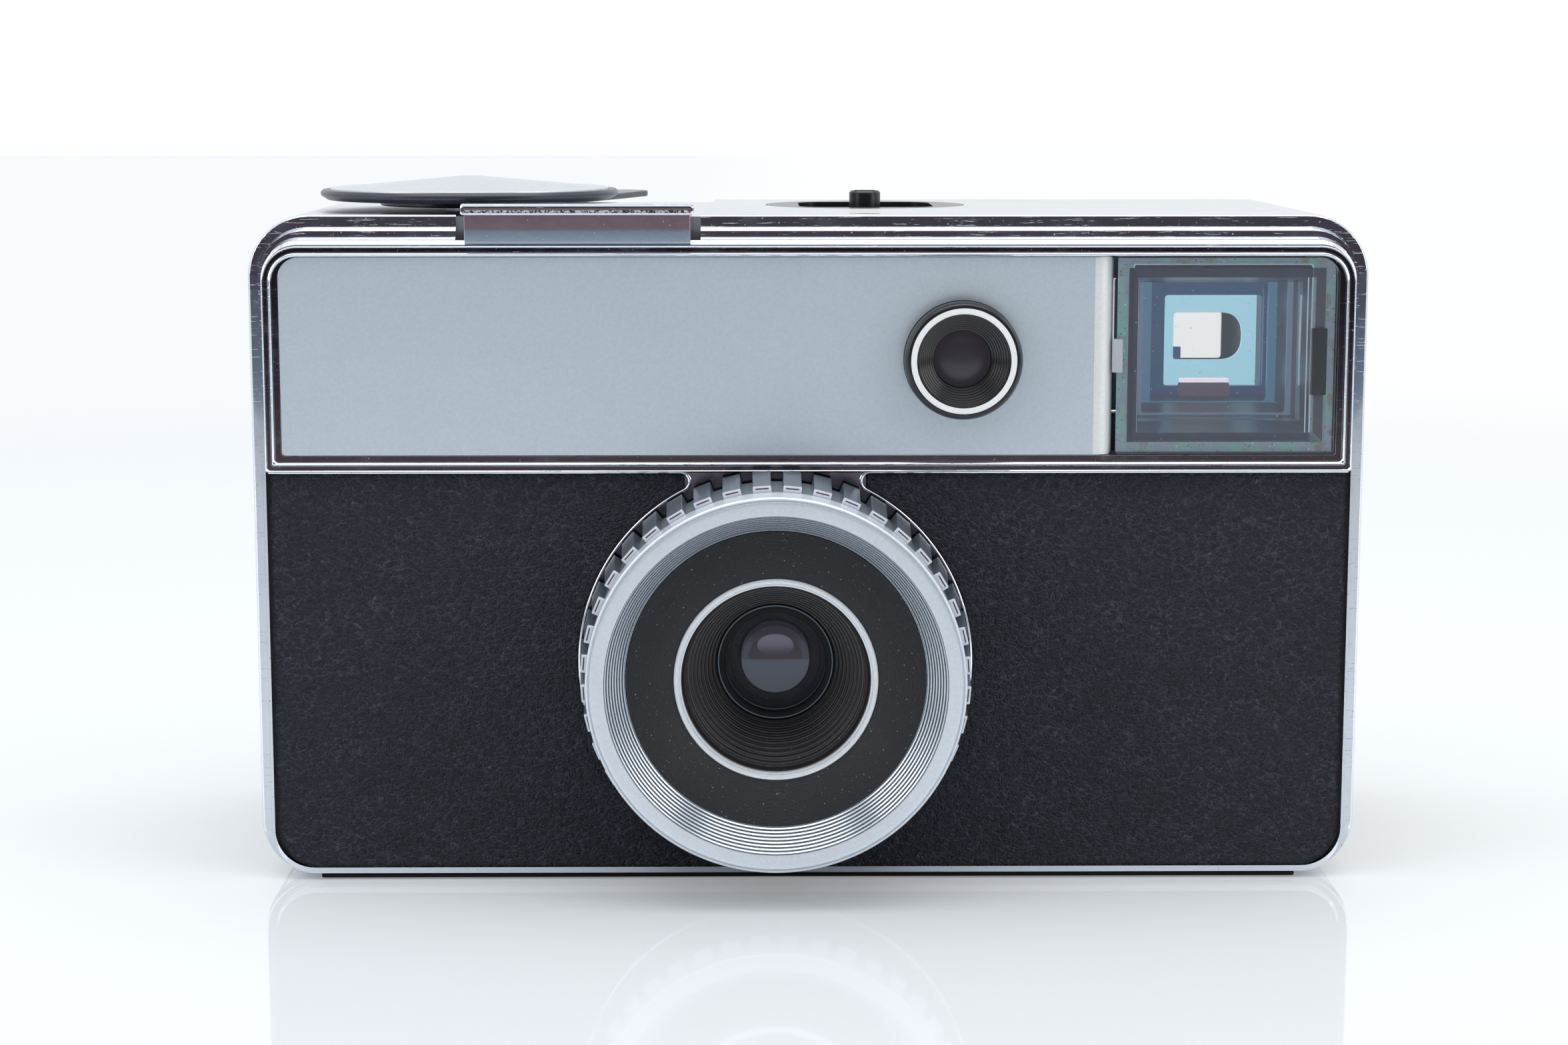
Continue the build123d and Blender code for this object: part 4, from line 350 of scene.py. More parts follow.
def tinted(name, colour, roughness, glow):
    """Smooth part of the finder in a display colour, lit a little from behind."""
    return moulding(name, tone(*colour), roughness, 0.1, 0.1, glow)


def ringed(name, colour, line, axis, pitch, roughness, dirt=0.6):
    """Black with fine concentric lines round an axis that runs front to back."""
    f = Finish(name)
    x, _, z = f.axes()
    reach = ((x - axis[0]).power(2) + (z - axis[1]).power(2)).power(0.5)
    wave = (reach * (2 * pi / pitch)).maths("SINE") * 0.5 + 0.5
    uneven = f.noise(0.8, 3, 0.6)
    dust = f.specks(1.5, 0.10, 0.6).most(f.specks(3.1, 0.12, 0.45)) * dirt
    paint = f.blend(wave.between(0.35, 0.9) * (0.35 + uneven * 0.8), colour, line)
    paint = f.blend(dust, paint, (0.50, 0.45, 0.36))
    return f.done(f.principled(paint, roughness + dust * 0.3, 0.0, f.bump(wave, 0.05, 0.8)))


def lens_coat(name, film):
    """Coated glass: mostly clear, with a sharp reflection and a thin grey film that glows as a painted
    reflection.
    """
    f = Finish(name)
    dust = f.specks(1.4, 0.06, 0.35)
    slant = f.node("ShaderNodeFresnel", inputs={"IOR": 1.6})
    cover = (slant + film + dust * 0.4 - 0.045).least(1.0)
    # Painted reflection: the grey film and the dust glow, setting the glass's tone in place of the room's
    # reflection
    haze = f.blend(dust, tone(76, 80, 92), tone(190, 185, 175))
    more = {"Alpha": cover, "Specular IOR Level": 0.8, "Emission Color": haze, "Emission Strength": 0.8}
    return f.done(f.principled((0.01, 0.01, 0.012), 0.02 + dust * 0.4, 0.0, None, more))


def painted_lens_depth(name, centre, radius):
    """Coated surface deep in a lens, with painted reflections that glow: light below, dark above, with a pale
    dome high in the dark part.
    """
    f = Finish(name)
    x, _, z = f.axes()
    across, up = (x - centre[0]) * (1 / radius), (z - centre[1]) * (1 / radius)
    lower = up.between(0.03, -0.04)
    reach = (across.power(2) + up.power(2)).power(0.5)
    side = reach.between(0.76, 0.84) * up.between(0.72, 0.40)
    # Painted reflection of a lamp: a pale dome high in the dark part
    dome = ((across * (1 / 0.54)).power(2) + ((up - 0.42) * (1 / 0.34)).power(2)).between(1.04, 0.92)
    paint = f.blend(side, tone(42, 39, 45), tone(56, 59, 68))
    paint = f.blend(dome * up.between(0.08, 0.60), paint, tone(98, 96, 108))
    paint = f.blend(lower, paint, f.blend(up.between(0.0, -1.0), tone(66, 72, 84), tone(60, 64, 73)))
    # Painted light: the glass glows with its painted reflections
    return f.done(f.principled(paint, 0.3, 0.0, None, {"Emission Color": paint, "Emission Strength": 0.75}))


def aged(name):
    """Border of an old window: grey-lilac with green and brown bloom and grit, brightened by a painted glow.
    """
    f = Finish(name)
    bloom = f.noise(0.55, 4, 0.65)
    stain = f.noise(0.35, 3, 0.6, distortion=0.6)
    grit = f.specks(2.2, 0.22, 0.5).most(f.specks(4.3, 0.25, 0.4))
    light = f.specks(1.9, 0.14, 0.35)
    paint = f.blend(bloom.between(0.42, 0.62), tone(128, 138, 156), tone(112, 158, 152))
    paint = f.blend(stain.between(0.52, 0.66) * 0.8, paint, tone(120, 110, 92))
    paint = f.blend(grit * 0.6, paint, tone(46, 42, 40))
    paint = f.blend(light * 0.7, paint, tone(226, 224, 214))
    # Painted light: the border glows to look lit
    shine = {"Emission Color": paint, "Emission Strength": 0.4}
    return f.done(f.principled(paint, 0.4 + grit * 0.3, 0.0, f.bump(bloom + grit, 0.05, 0.6), shine))


def hide(name):
    """Near-black leather cloth: fine creases on top of the modelled grain, the crests painted light as
    highlights.
    """
    f = Finish(name)
    cloud = {"Vector": f.scaled(1, 1, 1), "Scale": 0.9, "Detail": 3.0}
    wander = f.node("ShaderNodeTexNoise", inputs=cloud, output=1)
    spread = (wander, (1.3, 1.3, 1.3), f.scaled(0.8, 0.8, 1.25))
    bent = f.node("ShaderNodeVectorMath", {"operation": "MULTIPLY_ADD"}, spread)
    edges = {"feature": "DISTANCE_TO_EDGE"}
    crease = f.node("ShaderNodeTexVoronoi", edges, {"Vector": bent, "Scale": 1.15})
    fold = f.node("ShaderNodeTexVoronoi", edges, {"Vector": bent, "Scale": 2.6})
    fine = f.noise(3.2, 4, 0.65)
    crest = (1 - crease.between(0.0, 0.16)) * (1 - fold.between(0.0, 0.30)).most(0.35)
    dust = f.specks(0.8, 0.05, 0.25).most(f.specks(2.9, 0.09, 0.15))
    patch = f.noise(0.28, 3, 0.6, stretch=(0.7, 1, 1.2)).between(0.30, 0.70)
    paint = f.blend(fine.between(0.3, 0.8), tone(29, 30, 37), tone(44, 46, 56))
    # Painted highlight: the grain's crests are painted light blue-grey
    paint = f.blend(crest * fine.between(0.2, 0.6) * (0.40 + patch * 0.50), paint, tone(80, 88, 103))
    paint = f.blend(dust * 0.6, paint, (0.35, 0.33, 0.28))
    normal = f.bump(fold.between(0.0, 0.30) * 0.5 - crest + fine * 0.5, 0.25, 0.9)
    return f.done(f.principled(paint, 0.42 + fine * 0.18, 0.0, normal, {"Specular IOR Level": 0.3}))


def pane(name):
    """Thin clear pane: light goes straight through, more of it is reflected at a slant, and dust shows."""
    f = Finish(name)
    dust = f.specks(1.1, 0.09, 0.3).most(f.specks(3.3, 0.09, 0.2))
    slant = f.node("ShaderNodeFresnel", inputs={"IOR": 1.45})
    cover = (slant * 0.95 + 0.025 + dust * 0.5).least(1.0)
    more = {"Alpha": cover, "Specular IOR Level": 1.0}
    return f.done(f.principled((0.88, 0.93, 0.96), 0.04 + dust * 0.4, 0.0, None, more))


def brass(name):
    """Turned brass, slightly tarnished."""
    f = Finish(name)
    stain = f.noise(0.8, 4, 0.6)
    paint = f.blend(stain, (0.72, 0.53, 0.26), (0.50, 0.34, 0.15))
    return f.done(f.principled(paint, 0.25 + stain * 0.2, 1.0, f.bump(f.noise(12), 0.01, 0.4)))


CHROME = chrome("chrome_trim", 0.06, 0.7, (0.80, 0.83, 0.88))
# Dark plating for the trim's channel and ledge: painted shade
TRIM_SHADE = chrome("trim_shade", 0.12, 1.0, (0.11, 0.085, 0.095))
# Dark brown plating for the lens seat: painted reflection of the dark room
SEAT_CHROME_PAINTED_DARK = chrome("seat_chrome", 0.16, 1.0, (0.20, 0.17, 0.19))
STIPPLED = stipple("stippled_strip")
KEY_SATIN = key_painted_reflections("key_skirt")

RING_SATIN = satin("ring_satin", (0.86, 0.92, 0.98), 0.28, 0.3, 0.15, 0.5)
RING_CHROME = satin("ring_chrome", (0.60, 0.66, 0.73), 0.17, 0.3, 0.2, 0.88)
GRIP_METAL = satin("grip_metal", (0.42, 0.48, 0.56), 0.24, 0.1, 0.3, 0.8)
GRIP_FLOOR = satin("grip_floor", (0.24, 0.27, 0.31), 0.40, 0.3, 0.3, 0.35)
BRIGHT_LIP = satin("bright_lip", (0.93, 0.96, 0.99), 0.20, 0.2, 0.1, 0.4)
SATIN = satin("satin_plate", (0.81, 0.91, 0.98), 0.33, 0.5, 0.15, 0.66)
ROLL_HIGHLIGHT = satin("rolled_edge", (0.92, 0.94, 0.93), 0.35, 0.3, 0.1, 0.25)
SILVER = satin("satin_top", (0.80, 0.82, 0.84), 0.30, 0.8)
CAP_SATIN = satin("cap_satin", (0.72, 0.75, 0.80), 0.34, 0.8)
STEEL = satin("turned_steel", (0.50, 0.51, 0.53), 0.30)
SPRING = satin("spring_wire", (0.42, 0.43, 0.45), 0.28)
BRASS = brass("turned_brass")

BLACK = moulding("black_body", (0.022, 0.022, 0.025), 0.42)
GLOSS = moulding("black_gloss", (0.012, 0.012, 0.014), 0.16, 0.15)
DISC_BLACK = moulding("disc_black", (0.030, 0.034, 0.050), 0.24, 0.15)
BLUED = moulding("blued_steel", (0.010, 0.011, 0.014), 0.30, 0.2, 0.1)
SHADOW_BLACK = moulding("foot_black", tone(26, 24, 25), 0.5, 0.2, 0.1, 0.0, 0.15)
MOUNT_BLACK = moulding("mount_black", tone(24, 22, 27), 0.25, 0.2, 0.2, 0.0, 0.2)
MOUNT_GLINT = moulding("mount_line", tone(84, 98, 112), 0.25, 0.2, 0.2, 0.3)
PAD_FACE = moulding("pad_face", tone(196, 200, 210), 0.25, 0.2, 0.2)
SLOT_SHADE = moulding("slot_brown", tone(74, 52, 50), 0.3, 0.2, 0.2)
WHITE_RING = moulding("white_ring", (0.80, 0.81, 0.81), 0.25, 0.2, 0.2)
CLIP_GREY = moulding("clip_grey", (0.40, 0.42, 0.44), 0.40, 0.3, 0.3)
BOARD = moulding("laminate", (0.20, 0.13, 0.05), 0.45, 0.3, 0.2)
FINDER_TEAL = moulding("finder_tunnel", tone(60, 120, 140), 0.35, 0.2, 0.1)

BEVEL = tinted("window_bevel", (176, 190, 202), 0.2, 0.3)
TUNNEL = tinted("finder_walls", (50, 54, 70), 0.25, 0.4)
SLATE = tinted("slate_frame", (95, 112, 135), 0.35, 0.6)
BLUE_FRAME = tinted("blue_frame", (66, 112, 138), 0.30, 0.6)
NAVY_FRAME = tinted("navy_frame", (42, 58, 98), 0.30, 0.7)
DEEP_BLUE = tinted("deep_blue_frame", (34, 72, 108), 0.30, 0.5)
TEAL_FRAME = tinted("teal_frame", (160, 208, 220), 0.35, 0.75)
DARK_FRAME = tinted("dark_frame", (16, 18, 30), 0.30, 0.1)
PINK_REFLECTION = tinted("pink_frame", (225, 214, 222), 0.35, 0.9)
ROSE_REFLECTION = tinted("rose_frame", (98, 84, 100), 0.35, 0.4)
SLATE_HIGHLIGHT = tinted("light_streak", (150, 170, 196), 0.3, 0.5)

LEATHER_CLOTH = hide("leather_cloth")
PANE = pane("clear_pane")
BORDER = aged("window_border")
LENS_GLASS = lens_coat("lens_glass", 0.05)
INNER_GLASS_PAINTED = painted_lens_depth("inner_glass", LENS, INNER_RADIUS)
HOOD_BLACK = ringed("hood_black", tone(30, 28, 30), tone(70, 67, 68), LENS, 0.34, 0.38)
ANNULUS_BLACK = ringed("annulus_black", tone(36, 37, 40), tone(44, 45, 49), LENS, 0.13, 0.5, 0.9)

SLOT_FINISH = {
    "chrome_trim": CHROME, "satin_plate": SATIN, "leather": LEATHER_CLOTH, "black_body": BLACK,
    "black_gloss": GLOSS, "top_grey": SILVER, "optical_glass": PANE, "finder_metal": FINDER_TEAL,
    "white_ring": WHITE_RING, "steel": STEEL, "brass": BRASS, "circuit": BOARD, "spring_steel": SPRING,
}
OWN_FINISH = {"shutter_blade_left": BLUED, "shutter_blade_right": BLUED}
SLOTS = {row["node"]: row["material_slot"] for row in frame["record"]["subparts"]}
BODIES = {node: body for body, members in frame["record"]["behaviour"]["bodies"].items() for node in members}


def finish_frame():
    """Gives every CAD node the finish of its record slot, or its own."""
    for node, slot in SLOTS.items():
        materials = nodes[node].data.materials
        materials.clear()
        materials.append(OWN_FINISH.get(node, SLOT_FINISH[slot]))


# ---------------------------------------------------------------- mesh making

def closed_mesh(name, shape):
    """Mesh from points in millimetres and faces, with its seams merged and its faces pointing outwards."""
    points, faces = shape
    mesh = bpy.data.meshes.new(name)
    mesh.from_pydata([Vector(point) * MM for point in points], [], faces)
    work = bmesh.new()
    work.from_mesh(mesh)
    bmesh.ops.remove_doubles(work, verts=work.verts, dist=1e-7)
    bmesh.ops.recalc_face_normals(work, faces=work.faces)
    work.to_mesh(mesh)
    work.free()
    return mesh


def linked(name, data):
    """New object in the scene."""
    thing = bpy.data.objects.new(name, data)
    bpy.context.scene.collection.objects.link(thing)
    return thing


def evaluated_mesh(carrier):
    """Plain mesh of an object with its modifiers; the object is then removed."""
    bpy.context.view_layer.update()
    graph = bpy.context.evaluated_depsgraph_get()
    mesh = bpy.data.meshes.new_from_object(carrier.evaluated_get(graph))
    carrier.modifiers.clear()
    bpy.data.objects.remove(carrier)
    return mesh


def place(name, mesh, finish, node, replaces=True, sharp=38):
    """Makes a mesh a piece that rides as a CAD node does, and that may replace the node."""
    mesh.shade_smooth()
    mesh.set_sharp_from_angle(angle=radians(sharp))
    mesh.materials.clear()
    mesh.materials.append(finish)
    piece = linked(name, mesh)
    even = piece.modifiers.new("even_shading", "WEIGHTED_NORMAL")
    even.keep_sharp = True
    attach(piece, BODIES[node])
    if replaces:
        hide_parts(node)
    return piece


def make(name, shape, finish, node, replaces=True, sharp=38):
    """A closed piece from (points, faces)."""
    return place(name, closed_mesh(name, shape), finish, node, replaces, sharp)


def skin(rings, wrap=True):
    """Points and faces between rings of equal count; wrap joins the last ring to the first."""
    count = len(rings[0])
    points = [point for ring in rings for point in ring]
    faces = []
    last = len(rings) if wrap else len(rings) - 1
    for ring in range(last):
        start, following = ring * count, (ring + 1) % len(rings) * count
        for step in range(count):
            after = (step + 1) % count
            faces.append((start + step, start + after, following + after, following + step))
    if not wrap:
        faces.append(tuple(range(count)))
        faces.append(tuple(len(points) - count + step for step in reversed(range(count))))
    return points, faces


def prism(levels, upright=True):
    """Closed shape through (level, outline) pairs, the levels going up, or from front to back."""
    if upright:
        return skin([[(a, b, level) for a, b in outline] for level, outline in levels], False)
    return skin([[(a, level, b) for a, b in outline] for level, outline in levels], False)


def band(levels):
    """Closed band through (depth, outline) pairs: the last one joins the first."""
    return skin([[(a, depth, b) for a, b in outline] for depth, outline in levels])


def joined(shapes):
    """One shape of several."""
    points, faces = [], []
    for more, sides in shapes:
        faces += [tuple(index + len(points) for index in side) for side in sides]
        points += more
    return points, faces


def rounded(corners, steps=4, closed=True):
    """Corners of a section; one that gives a radius, last, is cut by a short arc."""
    points = []
    count = len(corners)
    for index, corner in enumerate(corners):
        here = Vector(corner[:2])
        back = Vector(corners[index - 1][:2]) - here
        ahead = Vector(corners[(index + 1) % count][:2]) - here
        is_end = not closed and index in (0, count - 1)
        angle = 0.0 if len(corner) < 3 or is_end else back.angle(ahead, pi)
        if angle == 0.0 or angle > radians(176):
            points.append(tuple(here))
            continue
        reach = min(corner[2] / tan(angle / 2), 0.48 * back.length, 0.48 * ahead.length)
        start = here + back.normalized() * reach
        end = here + ahead.normalized() * reach
        for step in range(steps + 1):
            share = step / steps
            # Quadratic curve through the corner, close to an arc
            points.append(tuple(start * (1 - share) ** 2 + here * 2 * share * (1 - share) + end * share ** 2))
    return points


def arc(centre, radius, start, end, steps):
    """Points on an arc, with angles in degrees."""
    turns = [radians(start + (end - start) * step / steps) for step in range(steps + 1)]
    return [(centre[0] + radius * cos(turn), centre[1] + radius * sin(turn)) for turn in turns]


def circle(centre, radius, steps):
    return arc(centre, radius, 0, 360, steps)[:-1]


def rounded_box(left, right, low, high, top_corner, low_corner, steps=12):
    """Closed outline of a rectangle with its own corner radii at the top and the bottom."""
    corners = ((right - top_corner, high - top_corner, top_corner, 0),
               (left + top_corner, high - top_corner, top_corner, 90),
               (left + low_corner, low + low_corner, low_corner, 180),
               (right - low_corner, low + low_corner, low_corner, 270))
    outline = []
    for across, up, radius, start in corners:
        outline += arc((across, up), max(radius, 0.01), start, start + 90, steps)
    return outline


def turned(name, section, finish, node, replaces=True, soft=None, centre=LENS, upright=False, wrap=True,
           steps=160, sharp=38):
    """A lathe piece from (radius, depth) points; depth runs back, or up, and soft gives the arcs' steps."""
    if soft:
        section = rounded(section, soft, wrap)
    turns = [2 * pi * step / steps for step in range(steps)]
    levels = [(depth, [(centre[0] + radius * cos(turn), centre[1] + radius * sin(turn)) for turn in turns])
              for radius, depth in section]
    shape = band(levels) if wrap else prism(levels, upright)
    return make(name, shape, finish, node, replaces, sharp)


def cut_plate(name, outline, hole, front, back, finish, node):
    """Flat plate facing the front, with a hole."""
    work = bmesh.new()
    for level in (front, back):
        edges = []
        for loop in (outline, hole):
            corners = [work.verts.new((a * MM, level * MM, b * MM)) for a, b in loop]
            edges += [work.edges.new((corners[index - 1], corners[index])) for index in range(len(corners))]
        bmesh.ops.triangle_fill(work, edges=edges, use_beauty=True)
    work.verts.index_update()
    work.verts.ensure_lookup_table()
    total = len(outline) + len(hole)
    start = 0
    for loop in (outline, hole):
        for index in range(len(loop)):
            a, b = start + index, start + (index + 1) % len(loop)
            work.faces.new([work.verts[number] for number in (a, b, b + total, a + total)])
        start += len(loop)
    bmesh.ops.recalc_face_normals(work, faces=work.faces)
    mesh = bpy.data.meshes.new(name)
    work.to_mesh(mesh)
    work.free()
    return place(name, mesh, finish, node)


def cut_away(mesh, box):
    """Cuts a box, in millimetres, out of a closed mesh."""
    left, right, front, back, low, high = box
    outline = [(left, front), (right, front), (right, back), (left, back)]
    whole = linked("whole", mesh)
    cutter = linked("cutter", closed_mesh("cutter", prism([(low, outline), (high, outline)])))
    cut = whole.modifiers.new("cut", "BOOLEAN")
    cut.operation, cut.solver, cut.object = "DIFFERENCE", "EXACT", cutter
    result = evaluated_mesh(whole)
    bpy.data.objects.remove(cutter)
    return result


def block(name, box, finish, node, edge=0.15, corner=0.2, upright=False):
    """An added box, (left, right, front, back, low, high), with its front or its top edge softened."""
    left, right, front, back, low, high = box
    foot, head = (front, back) if upright else (low, high)
    near, far, inwards = (high, low, -1) if upright else (front, back, 1)

    def outline(inset):
        radius = max(corner - inset, 0.02)
        return rounded_box(left + inset, right - inset, foot + inset, head - inset, radius, radius, 4)

    levels = [(near + inwards * edge, outline(0)), (near + inwards * 0.3 * edge, outline(0.3 * edge)),
              (near, outline(edge))]
    make(name, prism([(far, outline(0))] + levels, upright), finish, node, False)


# ---------------------------------------------------------------- repeated pieces

class Pattern(Graph):
    """A geometry tree that repeats the mesh it is put on; sizes names its inputs and their kinds."""

    def __init__(self, name, sizes):
        super().__init__(bpy.data.node_groups.new(name, "GeometryNodeTree"))
        declare = self.tree.interface.new_socket
        for way in ("OUTPUT", "INPUT"):
            declare("Geometry", in_out=way, socket_type="NodeSocketGeometry")
        self.named = {}
        for size, kind in sizes.items():
            self.named[size] = declare(size, in_out="INPUT", socket_type="NodeSocket" + kind).identifier
        self.entry = self.tree.nodes.new("NodeGroupInput")

    def given(self, name):
        return Wire(self, self.entry.outputs[name])

    def end(self, instances, finish):
        real = self.node("GeometryNodeRealizeInstances", inputs=(instances,))
        coloured = self.node("GeometryNodeSetMaterial", inputs={"Geometry": real, "Material": finish})
        self.node("NodeGroupOutput", inputs=(coloured,))
        return self


def round_pattern(finish):
    """Copies set round a ring that faces along its axis, then turned to the front or left upright."""
    tree = Pattern("copies_round_a_ring", {"Count": "Int", "Radius": "Float", "Phase": "Float",
                                           "Turn": "Vector", "Centre": "Vector"})
    index = tree.node("GeometryNodeInputIndex")
    angle = index * (2 * pi) / tree.given("Count") + tree.given("Phase")
    across = angle.maths("COSINE") * tree.given("Radius")
    along = angle.maths("SINE") * tree.given("Radius")
    spot = tree.node("ShaderNodeCombineXYZ", inputs=(across, along))
    points = tree.node("GeometryNodePoints", inputs={"Count": tree.given("Count"), "Position": spot})
    facing = tree.node("ShaderNodeCombineXYZ", inputs={"Z": angle})
    rotation = tree.node("FunctionNodeEulerToRotation", inputs=(facing,))
    set_out = {"Points": points, "Instance": tree.given("Geometry"), "Rotation": rotation}
    copies = tree.node("GeometryNodeInstanceOnPoints", inputs=set_out)
    aim = {"Geometry": copies, "Rotation": tree.given("Turn"), "Translation": tree.given("Centre")}
    return tree.end(tree.node("GeometryNodeTransform", inputs=aim), finish)


def corner_pattern(finish):
    """Copies on the corners of a rectangle."""
    tree = Pattern("copies_on_corners", {"Width": "Float", "Depth": "Float", "Centre": "Vector"})
    sizes = {"Size X": tree.given("Width"), "Size Y": tree.given("Depth"), "Vertices X": 2, "Vertices Y": 2}
    aim = {"Geometry": tree.node("GeometryNodeMeshGrid", inputs=sizes), "Translation": tree.given("Centre")}
    moved = tree.node("GeometryNodeTransform", inputs=aim)
    set_out = {"Points": moved, "Instance": tree.given("Geometry")}
    return tree.end(tree.node("GeometryNodeInstanceOnPoints", inputs=set_out), finish)


def repeat(name, shape, pattern, values, finish, node, replaces=True):
    """Runs a pattern on a small closed shape and keeps the result as a plain mesh."""
    carrier = linked(name + "_seed", closed_mesh(name + "_seed", shape))
    tree = pattern(finish)
    modifier = carrier.modifiers.new("pattern", "NODES")
    modifier.node_group = tree.tree
    for label, value in values.items():
        modifier[tree.named[label]] = value
    mesh = evaluated_mesh(carrier)
    mesh.name = name
    return place(name, mesh, finish, node, replaces)


# ---------------------------------------------------------------- front face

RIM_SIDE = HALF - TRIM.right
RIM_TOP = HEIGHT - TRIM.high
RIM_LIFT = 0.38
RIM_LOW = 0.79
RIM_ROLL = 0.2
KEY_GAP = 0.6
TRIM_CORNER = 3.65
# Where the trim's channel and ledge lie behind its front
CHANNEL = 0.34
LEDGE = 0.40


def front_rim():
    """Bright moulding round the front: a round edge, a cove, two steps and a ledge."""
    front, back = RIM.front, RIM.back
    # Share of the way from the outer edge to the inner one, and depth
    section = [(0.0, back), (0.0, front + 1.7), (0.01, front + 1.4), (0.04, front + 1.2),
               (0.08, front + 1.12), (0.50, front + 1.12), (0.52, front + 1.04), (0.62, front + 0.62),
               (0.64, front + 0.56), (0.88, front + 0.56), (0.89, front + 0.50), (0.96, front + 0.22),
               (0.98, front + 0.14), (1.0, front), (1.0, back)]
    levels = []
    for share, depth in section:
        # The outer edge is rounder down the sides than along the top
        side = RIM_SIDE * (share ** -0.4 if share else 1.0)
        low = RIM_LOW if share == 1.0 else RIM_ROLL
        half, corner = HALF - side * share, TOP_CORNER - max(side, RIM_TOP) * share
        foot, head = RIM_LIFT + low * share, HEIGHT - RIM_TOP * share
        levels.append((depth, rounded_box(-half, half, foot, head, corner, LOW_CORNER - side * share)))
    notch = (KEY.left - KEY_GAP, KEY.right + KEY_GAP, front - 1, back + 1, HEIGHT - 2 * RIM_TOP, HEIGHT + 1)
    place("front_rim", cut_away(closed_mesh("front_rim", band(levels)), notch), CHROME, "front_frame")


def rim_shadow_strip():
    """Black strip set back under the front, between the bright rim and the table, as painted shade in the gap
    under the rim.
    """
    side = HALF - 1.1 * LOW_CORNER
    strip = (-side, side, RIM.front + 0.5, RIM.back - 0.05, RIM.low + 0.02, RIM_LIFT + 0.1)
    block("rim_shadow_strip", strip, SHADOW_BLACK, "front_plate", 0.1)


def trim_band(name, section, finish, replaces=False):
    """Closed band round the name plate; a section point is (inset below and aside, inset above, depth)."""
    levels = [(depth, rounded_box(TRIM.left + low, TRIM.right - low, TRIM.low + low, TRIM.high - top,
                                  TRIM_CORNER - (low + top) / 2, 0.25)) for low, top, depth in section]
    make(name, band(levels), finish, "name_plate_trim", replaces)


def band_trim():
    """Two-bead trim round the name plate and the finder window, with its channel and ledge in dark plating as
    painted shade.
    """
    front, back = TRIM.front, TRIM.back
    channel, ledge = front + CHANNEL, front + LEDGE
    beads = [(0.0, 0.0, back), (0.0, 0.0, front + 0.30), (0.02, 0.30, front + 0.10),
             (0.07, 0.40, front + 0.02), (0.11, 0.52, front), (0.16, 0.62, front + 0.04),
             (0.22, 0.70, front + 0.13), (0.23, 0.72, channel), (0.56, 1.08, channel),
             (0.60, 1.12, front + 0.22), (0.66, 1.18, front + 0.10), (0.72, 1.26, front + 0.02),
             (0.78, 1.34, front), (0.86, 1.43, front + 0.05), (0.96, 1.52, front + 0.16),
             (0.98, 1.54, ledge), (1.55, 1.58, ledge), (1.55, 1.58, back)]
    trim_band("name_plate_trim_beads", beads, CHROME, True)
    # Painted shade: the channel and the ledge are dark plating
    for name, outer, inner, floor in (("name_plate_trim_channel", (0.24, 0.74), (0.54, 1.06), channel),
                                      ("name_plate_trim_ledge", (1.0, 1.545), (1.53, 1.57), ledge)):
        trim_band(name, [(*outer, floor + 0.02), (*outer, floor - 0.02), (*inner, floor - 0.02),
                         (*inner, floor + 0.02)], TRIM_SHADE)


# ---------------------------------------------------------------- lens group

KNURL_RISE = 0.6
KNURL_COUNT = 40
KNURL_PHASE = 4.1
GROOVES = 8
HOOD_RIBS = 18
BASE_BORE = 15.3


def front_ring():
    """Front ring: a satin rim with a fine edge line, then bright grooves that fall to the annulus."""
    front, outer, back = RING.front, RING.radius, RING.front + 3.5
    inner, face = ANNULUS.radius + 0.05, outer - 1.75
    rim = [(outer, back), (outer, front + 0.22, 0.12), (outer - 0.14, front + 0.04, 0.08),
           (outer - 0.24, front + 0.06, 0.02), (outer - 0.27, front + 0.22), (outer - 0.37, front + 0.22),
           (outer - 0.41, front + 0.01, 0.03), (outer - 0.7, front, 0.2), (face, front, 0.08), (face, back)]
    turned("front_ring_rim", rim, RING_SATIN, "front_ring", soft=2, steps=192)
    fall, run = (ANNULUS.front - front) / GROOVES, (face - inner) / GROOVES
    grooves = [(face - 0.01, back), (face - 0.01, front + 0.05)]
    for groove in range(GROOVES):
        radius, depth = face - run * groove, front + fall * groove
        grooves += [(radius - 0.03, depth + fall * 0.75, 0.04), (radius - run * 0.7, depth + fall, 0.05)]
    grooves += [(inner, ANNULUS.front + 0.3), (inner, back)]
    turned("front_ring_grooves", grooves, RING_CHROME, "front_ring", False, soft=2, steps=192)


def knurled_ring():
    """Core of the grip ring."""
    outer, inner = RING.radius, RING.radius - 1.9
    core = [(outer, KNURL.back), (outer, KNURL.front + 0.15, 0.05), (outer - 0.15, KNURL.front, 0.05),
            (inner, KNURL.front), (inner, KNURL.back)]
    turned("grip_ring_core", core, GRIP_FLOOR, "focus_ring", soft=2, steps=192)


